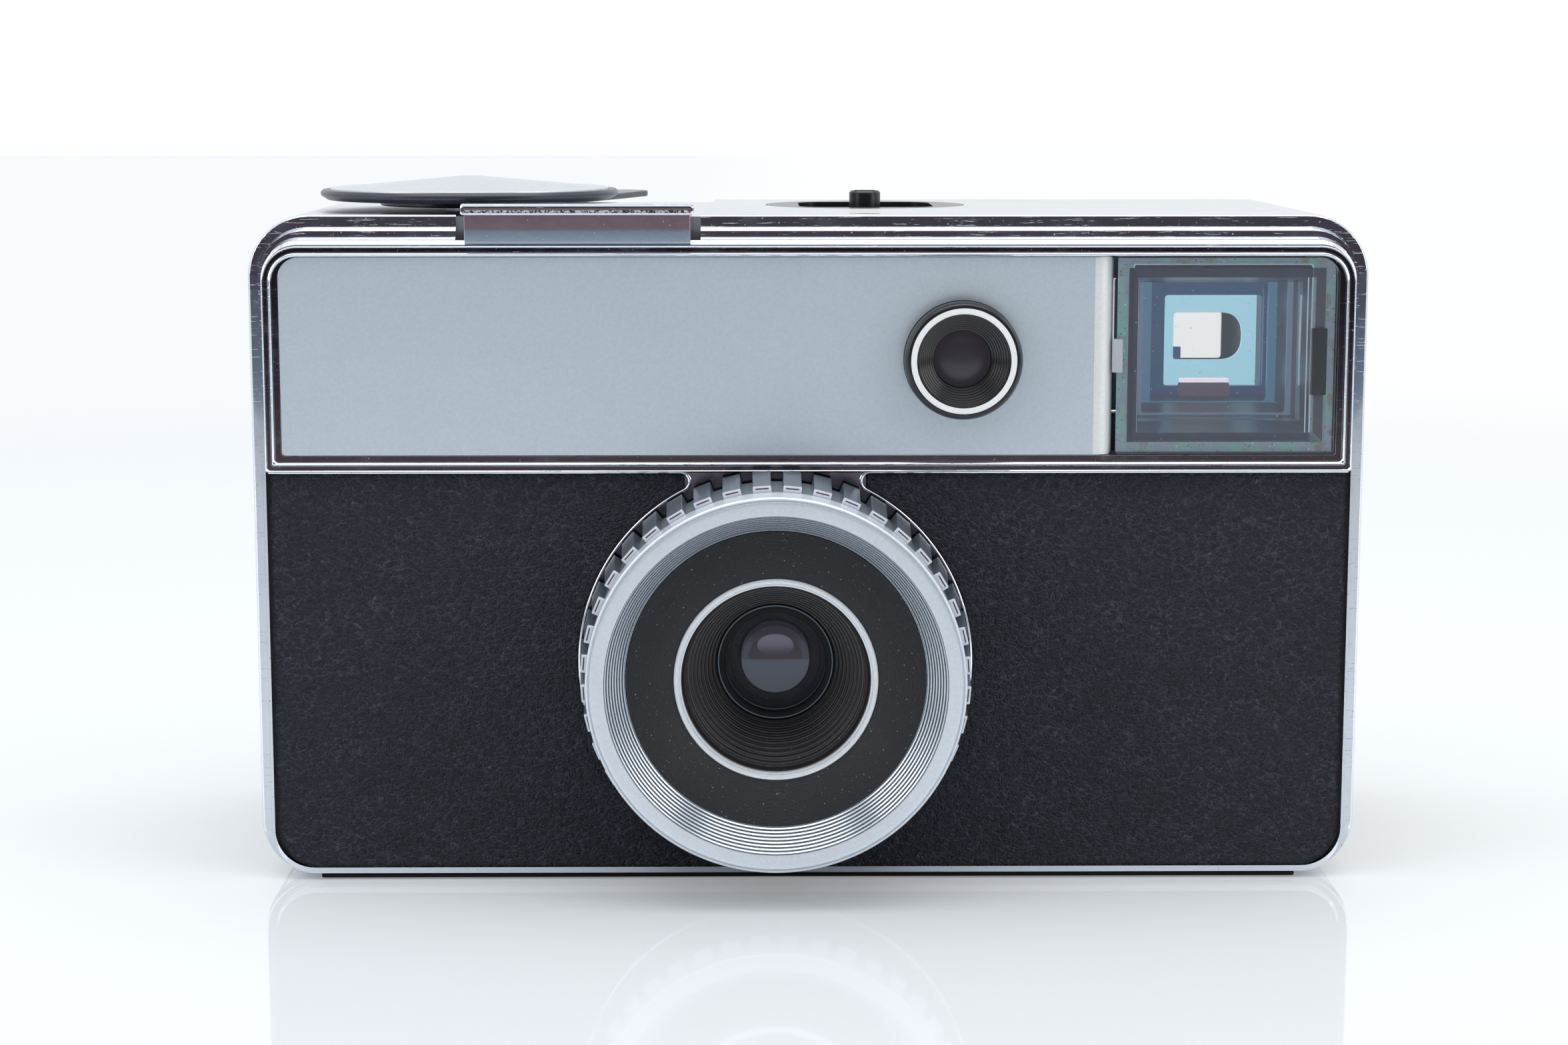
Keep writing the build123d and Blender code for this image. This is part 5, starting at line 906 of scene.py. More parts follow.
def grip_pads():
    """One raised pad of the grip ring, with its bright end face and a thin dark brown sheet for its slot, as
    painted shade, repeated round it.

    A pad's first axis points outwards from the ring, and its third to the front.
    """
    width, foot, edge, end = 1.72, -0.3, 0.06, 0.16
    back, front = -KNURL.back, -KNURL.front
    tall = KNURL.radius - RING.radius - 0.02

    def section(top, inset=0.0, low=foot):
        side = width / 2 - inset
        return [(low, -side), (low, side), (top - edge, side), (top, side - edge), (top, -side + edge),
                (top - edge, -side)]

    pad = prism([(back, section(tall)), (front - end, section(KNURL_RISE))])
    face = prism([(front - end, section(KNURL_RISE)), (front - 0.08, section(KNURL_RISE)),
                  (front - 0.01, section(KNURL_RISE - 0.07, 0.07, 0.07))])
    # Painted shade: the slot is a thin dark brown sheet on the face, not a cut
    opening = [(0.30, -0.62), (0.30, 0.62), (0.42, 0.62), (0.42, -0.62)]
    slot = prism([(front - 0.05, opening), (front, opening)])
    values = {"Count": KNURL_COUNT, "Radius": RING.radius * MM, "Phase": radians(KNURL_PHASE),
              "Turn": (radians(90), 0.0, 0.0), "Centre": (LENS[0] * MM, 0.0, LENS[1] * MM)}
    for name, shape, finish in (("grip_ring_pads", pad, GRIP_METAL), ("grip_pad_faces", face, PAD_FACE),
                                ("grip_pad_slots", slot, SLOT_SHADE)):
        repeat(name, shape, round_pattern, values, finish, "focus_ring", False)


def annulus():
    """Flat black annulus inside the grooves."""
    outer, inner = ANNULUS.radius, BRIGHT.radius + 0.05
    front, back = ANNULUS.front, ANNULUS.back
    section = [(outer, back), (outer, front, 0.05), (inner, front, 0.05), (inner, back)]
    turned("front_annulus_disc", section, ANNULUS_BLACK, "front_annulus", soft=2)


def bright_lip():
    """Thin bright ring between the annulus and the hood."""
    outer, inner = BRIGHT.radius, BRIGHT.radius - 0.7
    front, back = BRIGHT.front, BRIGHT.back
    section = [(outer, back), (outer, front + 0.12, 0.08), (outer - 0.1, front, 0.08),
               (outer - 0.42, front, 0.06), (outer - 0.46, front + 0.16, 0.02),
               (inner + 0.16, front + 0.18, 0.02), (inner + 0.12, front + 0.1, 0.03),
               (inner, front + 0.12, 0.05), (inner, back)]
    turned("bright_ring_lip", section, BRIGHT_LIP, "bright_ring", soft=3, steps=192)


def ribbed_hood():
    """Black hood: a smooth lip, then fine ribs down to the glass."""
    mouth, throat = BRIGHT.radius - 0.75, CELL.radius + 0.1
    front, back = HOOD.front, HOOD.back
    section = [(mouth, front), (mouth - 0.1, front + 0.35)]
    start = (mouth - 0.35, front + 1.0)
    run, fall = start[0] - throat, back - start[1]
    for rib in range(HOOD_RIBS):
        radius, depth = start[0] - run * rib / HOOD_RIBS, start[1] + fall * rib / HOOD_RIBS
        section += [(radius, depth), (radius - 0.02, depth + fall / HOOD_RIBS * 0.8)]
    wall = mouth + 0.7
    section += [(throat, back), (throat + 0.8, back), (wall, front + 1.6), (HOOD.radius, front + 1.6),
                (HOOD.radius, front + 1.0), (wall, front + 1.0), (wall, front)]
    turned("lens_hood_ribbed", section, HOOD_BLACK, "lens_hood", sharp=20)


def lens_mount():
    """Glossy bezel that carries the front glass, with its stepped black throat and a fine grey edge that
    glows as a painted highlight.
    """
    radius, front, back = CELL.radius, CELL.front, CELL.back
    seat, step = GLASS.radius + 0.03, GLASS.back
    section = [(radius, back), (radius, front + 0.1, 0.1), (radius - 0.12, front, 0.1), (seat, front, 0.12),
               (seat - 0.08, front + 0.25, 0.1), (seat, front + 0.3), (seat, step - 0.2), (4.5, step - 0.2),
               (4.4, step + 0.3), (3.75, step + 0.3), (3.6, step + 0.9), (3.4, back - 0.05), (3.4, back)]
    turned("lens_mount", section, MOUNT_BLACK, "lens_cell", soft=3)
    # Painted highlight: a thin light bead that glows at the bezel's edge
    line = [(radius - 0.02, front + 0.12), (radius - 0.04, front + 0.02), (radius - 0.12, front - 0.02),
            (radius - 0.2, front + 0.02), (radius - 0.22, front + 0.12)]
    turned("lens_mount_line", line, MOUNT_GLINT, "lens_cell", False)


def domed_glass(name, radius, rim, crown, back, finish, node, replaces=True, centre=LENS, swell=1.0,
                steps=96):
    """Round glass with a domed front: rim is the depth of its edge, crown that of its middle."""
    rings = 12
    section = [(0.0, crown)]
    for ring in range(1, rings + 1):
        reach = ring / rings
        section.append((radius * reach, crown + (rim - crown) * reach ** (2 * swell)))
    section += [(radius, back), (0.0, back)]
    turned(name, section, finish, node, replaces, None, centre, wrap=False, steps=steps)


def taking_lens():
    """Front glass and a second, smaller glass behind it in the dark throat, the second with glowing painted
    reflections.
    """
    front = GLASS.front
    domed_glass("front_glass", GLASS.radius, front + 0.75, front, front + 1.0, LENS_GLASS, "front_lens")
    domed_glass("second_glass", INNER_RADIUS, front + 1.2, front + 1.05, GLASS.back + 1.6, INNER_GLASS_PAINTED,
                "front_lens", False)


SEAT_LINE = 0.30
SEAT_MIDDLE = LENS_BASE.radius - SEAT_LINE / 2
BEAD_TOP = TRIM.low - 0.02
NOSE = 0.95
NOSE_Z = BEAD_TOP - NOSE
NOSE_X = sqrt((SEAT_MIDDLE + NOSE) ** 2 - (NOSE_Z - LENS[1]) ** 2)


def lens_seat():
    """Bright seat of the lens with a neck up to the trim, its plating painted dark brown as a painted
    reflection, and the bead that edges the leather.
    """
    radius, face, back = LENS_BASE.radius, LENS_BASE.front, LENS_BASE.back
    turn = degrees(atan2(NOSE_Z - LENS[1], NOSE_X))
    neck = NOSE_X - NOSE / 2
    join = degrees(atan2(sqrt(radius ** 2 - neck ** 2), neck))
    outline = [(LENS[0] + neck, LENS_BASE.high)] + arc(LENS, radius, join, -180 - join, 150)
    outline += [(LENS[0] - neck, LENS_BASE.high)]
    # The seat's plating is painted dark brown as a painted reflection
    cut_plate("lens_seat", outline, circle(LENS, BASE_BORE, 96), face + 0.18, back, SEAT_CHROME_PAINTED_DARK, "lens_base")
    path = [(LEATHER.right, BEAD_TOP)] + arc((LENS[0] + NOSE_X, NOSE_Z), NOSE, 90, 180 + turn, 14)
    path += arc(LENS, SEAT_MIDDLE, turn, -180 - turn, 160)[1:-1]
    path += arc((LENS[0] - NOSE_X, NOSE_Z), NOSE, -turn, 90, 14) + [(LEATHER.left, BEAD_TOP)]
    edge_line("lens_seat_edge", path, SEAT_LINE, face)


def edge_line(name, path, width, face):
    """Half-round bright bead of one width along an open path on the front."""
    # Share of half the width, and depth
    bead = [(-1, 0.25), (-1, 0.08), (-0.55, 0.015), (0.0, 0.0), (0.55, 0.015), (1, 0.08), (1, 0.25)]
    rings = []
    for index, (x, z) in enumerate(path):
        before = path[max(index - 1, 0)]
        after = path[min(index + 1, len(path) - 1)]
        along = Vector((after[0] - before[0], after[1] - before[1])).normalized() * width / 2
        rings.append([(x + along.y * offset, face + depth, z - along.x * offset) for offset, depth in bead])
    make(name, skin(rings, False), CHROME, "lens_base", False)


# ---------------------------------------------------------------- leather panels

GRAIN_DEPTH = 0.13
GRAIN_SEED = 5

# Without a seed the grain's noise vectors are drawn anew in each run
noise.seed_set(GRAIN_SEED)


def box_gap(x, z, left, right, low, high, corner):
    """Distance to the edge of a rounded rectangle, negative inside."""
    across = abs(x - (left + right) / 2) - (right - left) / 2 + corner
    up = abs(z - (low + high) / 2) - (high - low) / 2 + corner
    outside = hypot(max(across, 0), max(up, 0))
    return outside + min(max(across, up), 0) - corner


def grain(x, z, seed):
    """Height of the pressed leather grain, from 0 in a crease to 1 on a pebble."""
    spot = Vector((x, z * 1.15, seed))
    spot += 0.55 * noise.noise_vector(spot * 0.9) + 0.25 * noise.noise_vector(spot * 2.3)
    near = noise.voronoi(spot * 1.05)[0]
    fold = min((near[1] - near[0]) * 2.2, 1.0)
    small = noise.voronoi(spot * 2.3)[0]
    wrinkle = min((small[1] - small[0]) * 2.0, 1.0)
    return 0.55 * fold ** 0.7 + 0.3 * wrinkle + 0.25 * noise.noise(spot * 0.7)


def leather_panel(name, node, gap, face, back, pitch, seed):
    """Leather cut to the outline where gap is negative, its grain pressed into the face."""
    edge = Place(node)
    columns = round(edge.width / pitch)
    rows = round(edge.height / pitch)
    inwards = 1 if face < back else -1
    work = bmesh.new()
    grid = {}
    for column in range(columns + 1):
        for row in range(rows + 1):
            x = edge.left + edge.width * column / columns
            z = edge.low + edge.height * row / rows
            grid[column, row] = (x, z, gap(x, z))
    corners = {}

    def corner(key):
        if key not in corners:
            x, z, _ = grid[key]
            corners[key] = work.verts.new((x, 0, z))
        return corners[key]

    for column in range(columns):
        for row in range(rows):
            keys = [(column, row), (column + 1, row), (column + 1, row + 1), (column, row + 1)]
            if sum(grid[key][2] for key in keys) < 0:
                work.faces.new([corner(key) for key in keys])
    # The border's points slide on to the outline
    bordering = [vertex for vertex in work.verts if vertex.is_boundary]
    for vertex in bordering:
        for _ in range(3):
            x, z = vertex.co.x, vertex.co.z
            slope = Vector((gap(x + 0.01, z) - gap(x - 0.01, z), gap(x, z + 0.01) - gap(x, z - 0.01))) / 0.02
            reach = slope.length_squared or 1.0
            here = gap(x, z)
            vertex.co.x -= here * slope.x / reach
            vertex.co.z -= here * slope.y / reach
    for vertex in work.verts:
        x, z = vertex.co.x, vertex.co.z
        drop = GRAIN_DEPTH * (1 - grain(x, z, seed))
        roll = 0.18 * max(0.0, 1 + gap(x, z) / 0.5) ** 2
        vertex.co.y = face + inwards * (0.02 + drop + roll)
    rim = [line for line in work.edges if line.is_boundary]
    walls = bmesh.ops.extrude_edge_only(work, edges=rim)["geom"]
    for element in walls:
        if isinstance(element, bmesh.types.BMVert):
            element.co.y = back
    foot = [element for element in walls if isinstance(element, bmesh.types.BMEdge) and element.is_boundary]
    bmesh.ops.triangle_fill(work, edges=foot, use_beauty=True)
    bmesh.ops.scale(work, vec=(MM, MM, MM), verts=work.verts)
    bmesh.ops.recalc_face_normals(work, faces=work.faces)
    mesh = bpy.data.meshes.new(name)
    work.to_mesh(mesh)
    work.free()
    piece = place(name, mesh, LEATHER_CLOTH, node, True, 50)
    piece.modifiers.clear()


def front_leather_gap(x, z):
    """Edge of the front leather: the rim's inner corners, less the lens seat and the noses beside it."""
    across = abs(x - LENS[0])
    if across < NOSE_X and z > LENS[1]:
        return hypot(across - NOSE_X, z - NOSE_Z) - NOSE
    lower = box_gap(x, z, LEATHER.left, LEATHER.right, LEATHER.low, LEATHER.high + 10, 3.85)
    return max(lower, z - LEATHER.high, SEAT_MIDDLE - hypot(x - LENS[0], z - LENS[1]))


def door_leather_gap(x, z):
    """Edge of the door's leather, with its opening round the film window."""
    panel, hole = DOOR_LEATHER, DOOR_WINDOW
    opening = box_gap(x, z, hole.left - 0.05, hole.right + 0.05, hole.low - 0.05, hole.high + 0.05, 1.0)
    return max(box_gap(x, z, panel.left, panel.right, panel.low, panel.high, 2.6), -opening)


def front_leather():
    leather_panel("front_leather_grained", "front_leather", front_leather_gap, LEATHER.front, LEATHER.back,
                  0.26, 3.0)


def back_leather():
    leather_panel("door_leather_grained", "door_leather", door_leather_gap, DOOR_LEATHER.back,
                  DOOR_LEATHER.front, 0.28, 9.0)


# ---------------------------------------------------------------- name plate, window and finder

PLATE_BACK = -18.25
PANE_BORDER = 1.5
PANE_RIGHT = 2.3
PANE_EDGE = 0.28
# Plates across the finder: name, place whose middle it has, width and height, opening (middle x and z, width,
# height), front, thickness, finish and the corner radius at the opening's right side
FINDER_FRAMES = (
    ("finder_frame_1", TUBE, 16.6, 15.2, (40.08, 51.58, 14.25, 13.75), -10.0, 0.5, SLATE, 0.4),
    ("finder_frame_2", TUBE, 15.8, 14.4, (40.48, 51.55, 11.75, 12.7), -4.0, 0.6, BLUE_FRAME, 0.4),
    ("finder_frame_3", TUBE, 15.0, 13.6, (41.1, 51.5, 11.0, 10.2), 0.0, 0.5, NAVY_FRAME, 0.4),
    ("finder_mask_plate", MASK, MASK.width, MASK.height, (41.6, 50.95, 9.9, 9.3), MASK.front, 0.8,
     DEEP_BLUE, 0.4),
    ("finder_frame_4", TUBE, 13.6, 12.4, (41.55, 51.15, 7.1, 4.9), 4.0, 0.6, TEAL_FRAME, 2.4),
    ("finder_frame_5", TUBE, 11.9, 10.4, (41.92, 50.42, 5.35, 4.95), 14.0, 0.5, DARK_FRAME, 0.4),
)
# Small boxes: name, box, finish, the node that they belong with, edge and corner
FINDER_DETAILS = (
    # Painted reflection: a bright glowing pink strip, and under it a darker rose band of painted reflection
    ("finder_ledge", (38.0, 43.0, -1.0, -0.6, 46.85, 47.3), PINK_REFLECTION, "viewfinder_tube", 0.05, 0.1),
    ("finder_ledge_shade", (37.9, 43.1, -0.85, -0.5, 45.3, 46.9), ROSE_REFLECTION, "viewfinder_tube", 0.05, 0.3),
    # Painted highlight: a light glowing streak at the finder's right
    ("finder_light_streak", (46.9, 47.15, -2.2, -1.9, 46.4, 57.0), SLATE_HIGHLIGHT, "viewfinder_tube", 0.05, 0.1),
    ("finder_notch", (39.2, 40.2, 13.6, 13.95, 47.9, 49.2), NAVY_FRAME, "viewfinder_tube", 0.05, 0.1),
    ("window_clip", (28.95, 29.95, -18.75, -18.25, 49.6, 52.8), CLIP_GREY, "photocell_ring", 0.08, 0.1),
    ("window_stop", (48.0, 49.5, -18.6, -18.22, 47.4, 53.8), GLOSS, "photocell_bezel", 0.08, 0.08),
    ("window_strip_upper", (48.05, 49.35, -18.6, -18.22, 54.0, 59.6), PANE, "viewfinder_window", 0.12, 0.1),
    ("window_strip_lower", (48.15, 49.45, -18.6, -18.22, 42.6, 47.2), PANE, "viewfinder_window", 0.12, 0.1),
)


def name_plate():
    """Frosted plate with rounded left corners; its right end rolls back as a round edge, made whiter and
    duller than the plate as a painted highlight.
    """
    front, roll, corner, thick = PLATE.front, 1.95, 1.9, 0.45
    flat_end = PLATE.right - roll
    outline = [(flat_end, PLATE.high)] + arc((PLATE.left + corner, PLATE.high - corner), corner, 90, 180, 10)
    outline += arc((PLATE.left + 0.3, PLATE.low + 0.3), 0.3, 180, 270, 4) + [(flat_end, PLATE.low)]
    hole = circle(PHOTO_AXIS, PHOTO.radius + 0.05, 64)
    cut_plate("name_plate_face", outline, hole, front, PLATE_BACK, SATIN, "name_plate")
    section = arc((flat_end, front + roll), roll, -90, 0, 9)
    section += [(PLATE.right, PLATE.back), (PLATE.right - thick, PLATE.back)]
    section += arc((flat_end, front + roll), roll - thick, 0, -90, 9)
    roll_edge = prism([(PLATE.low, section), (PLATE.high, section)])
    # Painted highlight: the rolled edge is a whiter, less metallic copy of the plate's finish
    make("name_plate_roll", roll_edge, ROLL_HIGHLIGHT, "name_plate", False)


def finder_window():
    """Clear front window: a border with a raised pane, aged green and brown at its edges, with painted
    highlights along the pane's edges.
    """
    front, back = WINDOW.front, WINDOW.back

    def outline(left, right, low, high, corner):
        start, end = WINDOW.left + left, WINDOW.right - right
        foot, head = WINDOW.low + low, WINDOW.high - high
        return rounded([(start, foot, 0.2), (end, foot, 0.2), (end, head, corner), (start, head, 0.2)], 5)

    def pane(inset, corner):
        return outline(PANE_BORDER + inset, PANE_RIGHT + inset, 1.1 + inset, 0.7 + inset, corner)

    rim, clear = outline(0.05, 0.05, 0.05, 0.05, 1.95), pane(0.1, 0.3)
    border = [(back + 0.1, rim), (back + 0.1, clear), (back + 0.35, clear), (back + 0.35, rim)]
    make("finder_window_border", band(border), BORDER, "viewfinder_tube", False)
    # Painted highlights: light glowing lines along the pane's raised edges
    for number, inset in ((1, 0.0), (2, 0.42)):
        outer, inner = pane(inset, 0.3), pane(inset + 0.11, 0.3)
        line = [(back + 0.01, outer), (back + 0.01, inner), (back + 0.09, inner), (back + 0.09, outer)]
        make("finder_window_bevel_%d" % number, band(line), BEVEL, "viewfinder_tube", False)
    plate = outline(0.02, 0.02, 0.02, 0.02, 2.0)
    levels = [(back, plate), (front + 0.5, plate), (front + 0.45, pane(0.0, 0.3)),
              (front + 0.08, pane(PANE_EDGE, 0.2)), (front + 0.05, pane(2 * PANE_EDGE, 0.15))]
    make("finder_window_pane", prism(levels, False), PANE, "viewfinder_window")


def framed(name, centre, width, height, opening, front, thick, finish, right_corner):
    """A plate across the finder with one opening."""

    def outline(x, z, width, height, left, right):
        start, end, foot, head = x - width / 2, x + width / 2, z - height / 2, z + height / 2
        return rounded([(start, foot, left), (end, foot, right), (end, head, right), (start, head, left)], 8)

    outer = outline(centre.x, centre.z, width, height, 0.05, 0.05)
    inner = outline(*opening, 0.4, right_corner)
    levels = [(front, outer), (front, inner), (front + thick, inner), (front + thick, outer)]
    piece = make(name, band(levels), finish, "viewfinder_tube", False)
    if centre is MASK:
        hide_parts("viewfinder_mask")


def finder_tunnel():
    """The finder behind its window: dark walls and tinted frames, one behind another, with openings."""
    wall = 0.9
    levels = []
    for depth, inset in ((TUBE.front, 0), (TUBE.back, 0), (TUBE.back, wall), (TUBE.front, wall)):
        share = (depth - TUBE.front) / (TUBE.back - TUBE.front)
        across = (TUBE.width + (EYEPIECE.width - TUBE.width) * share) / 2 - inset
        up = (TUBE.height + (EYEPIECE.height - TUBE.height) * share) / 2 - inset
        sides = (TUBE.x - across, TUBE.x + across, TUBE.z - up, TUBE.z + up)
        levels.append((depth, rounded_box(*sides, 0.05, 0.05, 2)))
    make("finder_tunnel", band(levels), TUNNEL, "viewfinder_tube")
    for row in FINDER_FRAMES:
        framed(*row)
    for row in FINDER_DETAILS:
        block(*row)


# ---------------------------------------------------------------- photocell

PHOTO_RIBS = 7


def photocell():
    """Black stepped bezel with a thin white ring and a dark domed glass."""
    outer, front, back = PHOTO.radius, PHOTO.front, PHOTO.back
    ring, floor = PHOTO_RING.radius, PHOTO_RING.back
    inner, throat = ring - 0.56, PHOTO_GLASS.radius + 0.05
    section = [(outer, back), (outer, front + 0.5, 0.2), (outer - 0.25, front + 0.06, 0.2),
               (ring + 0.03, front, 0.05), (ring + 0.03, floor), (inner - 0.03, floor),
               (inner - 0.03, front + 0.05)]
    start = (inner - 0.2, front + 0.1)
    run, fall = start[0] - throat, PHOTO_GLASS.front - start[1]
    for rib in range(PHOTO_RIBS):
        radius, depth = start[0] - run * rib / PHOTO_RIBS, start[1] + fall * rib / PHOTO_RIBS
        section += [(radius, depth, 0.05), (radius - 0.03, depth + fall / PHOTO_RIBS * 0.8, 0.03)]
    section += [(throat, PHOTO_GLASS.front), (throat, back)]
    turned("photocell_bezel_stepped", section, GLOSS, "photocell_bezel", True, 2, PHOTO_AXIS, steps=96)
    white = [(ring, floor), (ring, front + 0.02, 0.05), (inner, front + 0.02, 0.05), (inner, floor)]
    turned("photocell_white_ring", white, WHITE_RING, "photocell_ring", True, 3, PHOTO_AXIS, steps=96)
    # The dome takes the same glowing finish with painted reflections as the lens's second glass
    domed_glass("photocell_dome", PHOTO_GLASS.radius, PHOTO_GLASS.front + 0.6, PHOTO_GLASS.front,
                PHOTO_GLASS.back, INNER_GLASS_PAINTED, "photocell_glass", True, PHOTO_AXIS, 1.2, 64)


# ---------------------------------------------------------------- top controls

STEM = (-23.94, -19.94, -17.5, -16.4)
SKIRT_INSET = 0.35
SKIRT_BEVEL = 0.06
LEVER_ANGLE = 59
LEVER_TIP = 3.2
LEVER_REACH = 30.0 - LEVER_TIP
LEVER_HUB = 9.0


def release_key():
    """Bright release key: a flange with a stippled strip in its front edge, and a skirt bent down."""
    left, right, front, top, foot = KEY.left, KEY.right, KEY.front, KEY.high, HEIGHT

    def face(inset, corner):
        return rounded_box(left + inset, right - inset, foot + inset, top - inset, corner, corner, 5)

    full = face(0.0, 0.3)
    flange = [(KEY.back, full), (front + 0.2, full), (front + 0.05, face(0.06, 0.26)),
              (front, face(0.15, 0.2)), (front + 0.03, face(0.21, 0.15)), (front + 0.13, face(0.25, 0.12))]
    make("release_key_flange", prism(flange, False), CHROME, "release_key")
    strip = (left + 0.27, right - 0.27, front + 0.04, front + 0.3, foot + 0.24, top - 0.42)
    block("release_key_strip", strip, STIPPLED, "release_key", 0.04, 0.08)
    near, back, height = front + 0.2, front + 0.6, foot + 0.05 - SKIRT_LOW
    # Depth, and share of the skirt's height from the flange down
    section = [(near, 0.1), (near, 0.48), (near + 0.004, 0.55), (near + 0.045, 0.90), (near + 0.09, 0.95),
               (near + 0.3, 1.0), (back, 1.0), (back, 0.0), (near, 0.0)]
    first, last = left + SKIRT_INSET, right - SKIRT_INSET
    rings = []
    for x, shrink in ((first, SKIRT_BEVEL), (first + SKIRT_BEVEL, 0.0), (last - SKIRT_BEVEL, 0.0),
                      (last, SKIRT_BEVEL)):
        rings.append([(x, y + (shrink if y < back else 0), foot + 0.05 - (height - shrink) * share)
                      for y, share in section])
    make("release_key_skirt", skin(rings, False), KEY_SATIN, "release_key", False)
    block("release_key_stem", (*STEM, KEY.low, foot + 0.1), STEEL, "release_key", 0.1, 0.2)


def release_spring():
    """Coil spring under the key's stem."""
    seat = Place("release_spring")
    wire, turns, sides, steps = 0.12, 9, 6, 14
    coil, low, rise = seat.radius - wire, seat.low + wire, seat.height - 2 * wire - 0.02
    rings = []
    for step in range(turns * steps + 1):
        angle = 2 * pi * step / steps
        ring = []
        for side in range(sides):
            reach = coil + wire * cos(2 * pi * side / sides)
            up = low + rise * step / (turns * steps) + wire * sin(2 * pi * side / sides)
            ring.append((seat.x + reach * cos(angle), seat.y + reach * sin(angle), up))
        rings.append(ring)
    piece = make("release_spring_coil", skin(rings, False), SPRING, "release_spring")
    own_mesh(piece)


def winding_wheel():
    """Black rimmed disc with a frosted, slightly conical cap."""
    axis, radius, low, high = (DISC.x, DISC.y), DISC.radius, DISC.low, DISC.high
    cap, peak = CAP.radius, CAP.high
    rim = [(0.0, low), (radius - 0.7, low, 0.2), (radius, low + 0.45, 0.25), (radius, high - 0.25, 0.12),
           (radius - 0.2, high, 0.1), (cap + 0.1, high, 0.05), (cap - 0.05, high - 0.2), (0.0, high - 0.2)]
    turned("winding_disc_rim", rim, DISC_BLACK, "wind_disc", True, 4, axis, True, False)
    crown = [(0.0, high - 0.15), (cap, high - 0.15), (cap, high + 0.1, 0.08), (cap - 0.25, high + 0.2, 0.2),
             (cap - 1.2, high + 0.22, 0.6), (2.2, peak - 0.12, 1.5), (1.1, peak, 0.3), (0.0, peak)]
    turned("winding_cap_cone", crown, CAP_SATIN, "wind_cap", True, 4, axis, True, False, 128)


def thumb_lever():
    """Black lever that swings with the disc."""
    axis, low, high = (DISC.x, DISC.y), THUMB.low, THUMB.high
    turn = radians(LEVER_ANGLE)
    end = (axis[0] + LEVER_REACH * cos(turn), axis[1] + LEVER_REACH * sin(turn))
    square = 90 - degrees(atan2(LEVER_HUB - LEVER_TIP, LEVER_REACH))
    outline = arc(end, LEVER_TIP, LEVER_ANGLE - square, LEVER_ANGLE + square, 14)
    outline += arc(axis, LEVER_HUB, LEVER_ANGLE + square, LEVER_ANGLE + 360 - square, 40)

    def inset(by):
        points = []
        for a, b in outline:
            at_tip = hypot(a - end[0], b - end[1]) < LEVER_TIP + 0.1
            middle, share = (end, by / 8) if at_tip else (axis, by / LEVER_HUB)
            points.append((a + (middle[0] - a) * share, b + (middle[1] - b) * share))
        return points

    levels = [(low, inset(0.15)), (low + 0.12, outline), (high - 0.12, outline), (high, inset(0.15))]
    make("thumb_lever_arm", prism(levels), GLOSS, "thumb_lever")


def flash_post():
    """Grey cap of the post in the flash socket."""
    half, x, y = 1.25, SOCKET.x, SOCKET.y
    cap = (x - half, x + half, y - half, y + half, SOCKET.high - 0.5, SOCKET.high)
    block("flash_post_cap", cap, CLIP_GREY, "flash_socket", 0.2, 0.6, True)


# ---------------------------------------------------------------- base

SCREW_RADIUS = 1.7
SCREW_SLOT = 0.28
SCREW_FLOOR = 0.45
SCREW_LOW = 0.2


def base_screw_heads():
    """Slotted countersunk screws on the corners of the base."""
    heads = Place("base_screws")
    lip = degrees(atan2(SCREW_SLOT, SCREW_RADIUS))
    shapes = []
    for side in (1, -1):
        half = [(side * a, side * b) for a, b in arc((0, 0), SCREW_RADIUS, lip, 180 - lip, 16)]
        foot = [(a * 0.93, side * SCREW_SLOT + (b - side * SCREW_SLOT) * 0.93) for a, b in half]
        shapes.append(prism([(SCREW_FLOOR + 0.02, half), (SCREW_LOW + 0.1, half), (SCREW_LOW, foot)]))
    outer = circle((0, 0), SCREW_RADIUS, 32)
    shapes.append(prism([(1.4, outer), (SCREW_FLOOR, outer)]))
    values = {"Width": (heads.width - 2 * SCREW_RADIUS) * MM, "Centre": (heads.x * MM, heads.y * MM, 0.0),
              "Depth": (heads.back - heads.front - 2 * SCREW_RADIUS) * MM}
    repeat("base_screw_heads", joined(shapes), corner_pattern, values, STEEL, "base_screws")


finish_frame()
for build in (name_plate, finder_window, finder_tunnel, photocell, release_key, release_spring,
              winding_wheel, thumb_lever, flash_post, base_screw_heads, back_leather, front_rim, rim_shadow_strip,
              band_trim, front_ring, knurled_ring, grip_pads, annulus, bright_lip, ribbed_hood, lens_mount,
              taking_lens, lens_seat, front_leather):
    build()


# ---------------------------------------------------------------- studio

TABLE = {"side": 2.0, "front": -0.42, "back": 3.0}
TABLE_DROP = 0.0001


def studio_floor():
    """Glossy white table that fades into the white backdrop."""
    f = Finish("white_table")
    marks = f.noise(0.02, 3, 0.5)
    glossy = f.principled((0.745, 0.78, 0.815), 0.035 + marks * 0.03, 0.0)
    across = f.axes()[0]
    far = f.blend(across.between(-110, 60), tone(248, 251, 254), tone(254, 255, 255))
    white = f.node("ShaderNodeEmission", inputs={"Color": far, "Strength": 1.0})
    reach = f.node("ShaderNodeVectorMath", {"operation": "LENGTH"}, (f.where,), "Value")
    seen = f.node("ShaderNodeLightPath", output="Is Camera Ray")
    fade = reach.between(0.20, 0.50).most(0.22) * seen
    surface = f.node("ShaderNodeMixShader", inputs=(fade, glossy, white))
    side, front, back = TABLE["side"], TABLE["front"], TABLE["back"]
    mesh = bpy.data.meshes.new("table")
    corners = [(-side, front, 0), (side, front, 0), (side, back, 0), (-side, back, 0)]
    mesh.from_pydata(corners, [], [(0, 1, 2, 3)])
    mesh.materials.append(f.done(surface))
    table = linked("table", mesh)
    table.location.z = cad_box[0].z - TABLE_DROP


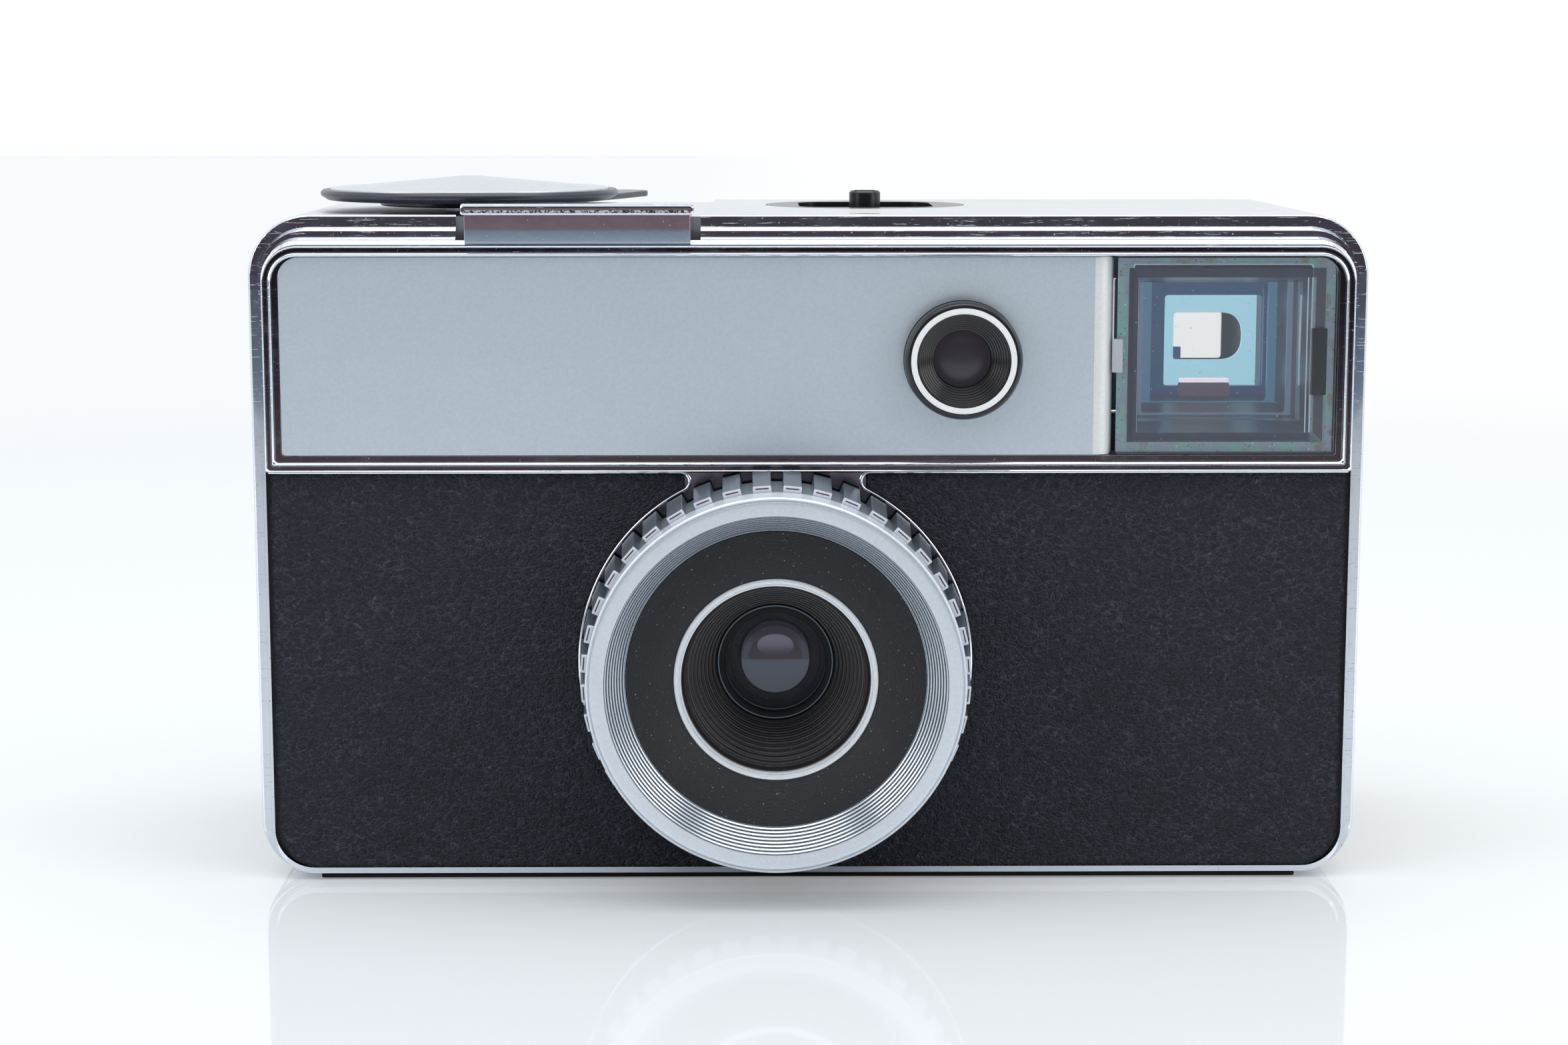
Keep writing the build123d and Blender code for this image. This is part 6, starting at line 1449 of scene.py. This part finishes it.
class Sky(Graph):
    """The studio around the object."""

    def __init__(self):
        world = bpy.data.worlds.new("studio")
        bpy.context.scene.world = world
        world.use_nodes = True
        super().__init__(world.node_tree)
        self.tree.nodes.clear()

    def ramp(self, factor, stops):
        return self.node("ShaderNodeValToRGB", {"stops": stops}, (factor,))

    def mix(self, factor, first, second):
        return self.node("ShaderNodeMix", {"data_type": "RGBA"}, {0: factor, 6: first, 7: second}, 2)

    def glow(self, colour, strength):
        return self.node("ShaderNodeBackground", inputs={"Color": colour, "Strength": strength})


def studio_world():
    """White all round for the camera; for light and gloss bright on all sides and above but dark in front."""
    sky = Sky()
    where = sky.node("ShaderNodeTexCoord", output="Generated")
    y, z = [sky.node("ShaderNodeSeparateXYZ", inputs=(where,), output=axis) for axis in (1, 2)]
    height = z * 0.5 + 0.5
    room = sky.ramp(height, [(0.0, (0.50, 0.56, 0.64)), (0.445, (0.19, 0.24, 0.32)),
                             (0.470, (0.060, 0.050, 0.065)), (0.62, (0.050, 0.038, 0.045)),
                             (0.76, (0.30, 0.32, 0.35)), (0.86, (0.93, 0.97, 1.0))])
    studio = sky.ramp(height, [(0.0, (0.78, 0.85, 0.94)), (0.5, (0.84, 0.91, 0.99)),
                               (0.6, (0.97, 0.99, 1.0))])
    light = sky.glow(sky.mix((y * -1).between(0.15, 0.62), studio, room), 0.95)
    white = sky.glow(sky.mix(z.between(-0.08, -0.01), (0.90, 0.94, 0.98, 1), (1, 1, 1, 1)), 1.0)
    seen = sky.node("ShaderNodeLightPath", output="Is Camera Ray")
    through = sky.node("ShaderNodeLightPath", output="Is Transmission Ray")
    surface = sky.node("ShaderNodeMixShader", inputs=(seen.most(through), light, white))
    sky.node("ShaderNodeOutputWorld", inputs=(surface,))


def softbox(name, position, size, power):
    """Rectangular lamp at a position, turned to the object."""
    lamp = bpy.data.lights.new(name, "AREA")
    lamp.shape = "RECTANGLE"
    lamp.size, lamp.size_y = size
    lamp.energy = power
    stand = linked(name, lamp)
    stand.location = position
    stand.rotation_euler = (Vector((0, 0, 0.03)) - Vector(position)).to_track_quat("-Z", "Y").to_euler()


def studio_camera():
    lens = bpy.data.cameras.new("camera")
    lens.lens, lens.sensor_width = 66.7, 36.0
    lens.clip_start = 0.01
    eye = linked("camera", lens)
    eye.location = (-5.09 * MM, -295.11 * MM, 76.66 * MM)
    eye.rotation_euler = (radians(81.46), 0, radians(-0.554))
    bpy.context.scene.camera = eye


studio_floor()
studio_world()
softbox("top_light", (0, -0.05, 0.75), (0.9, 0.6), 3.2)
softbox("left_light", (-0.7, -0.40, 0.35), (0.4, 0.6), 1.6)
softbox("right_light", (0.7, -0.40, 0.35), (0.4, 0.6), 1.6)
studio_camera()
bpy.context.scene.view_settings.view_transform = "Standard"
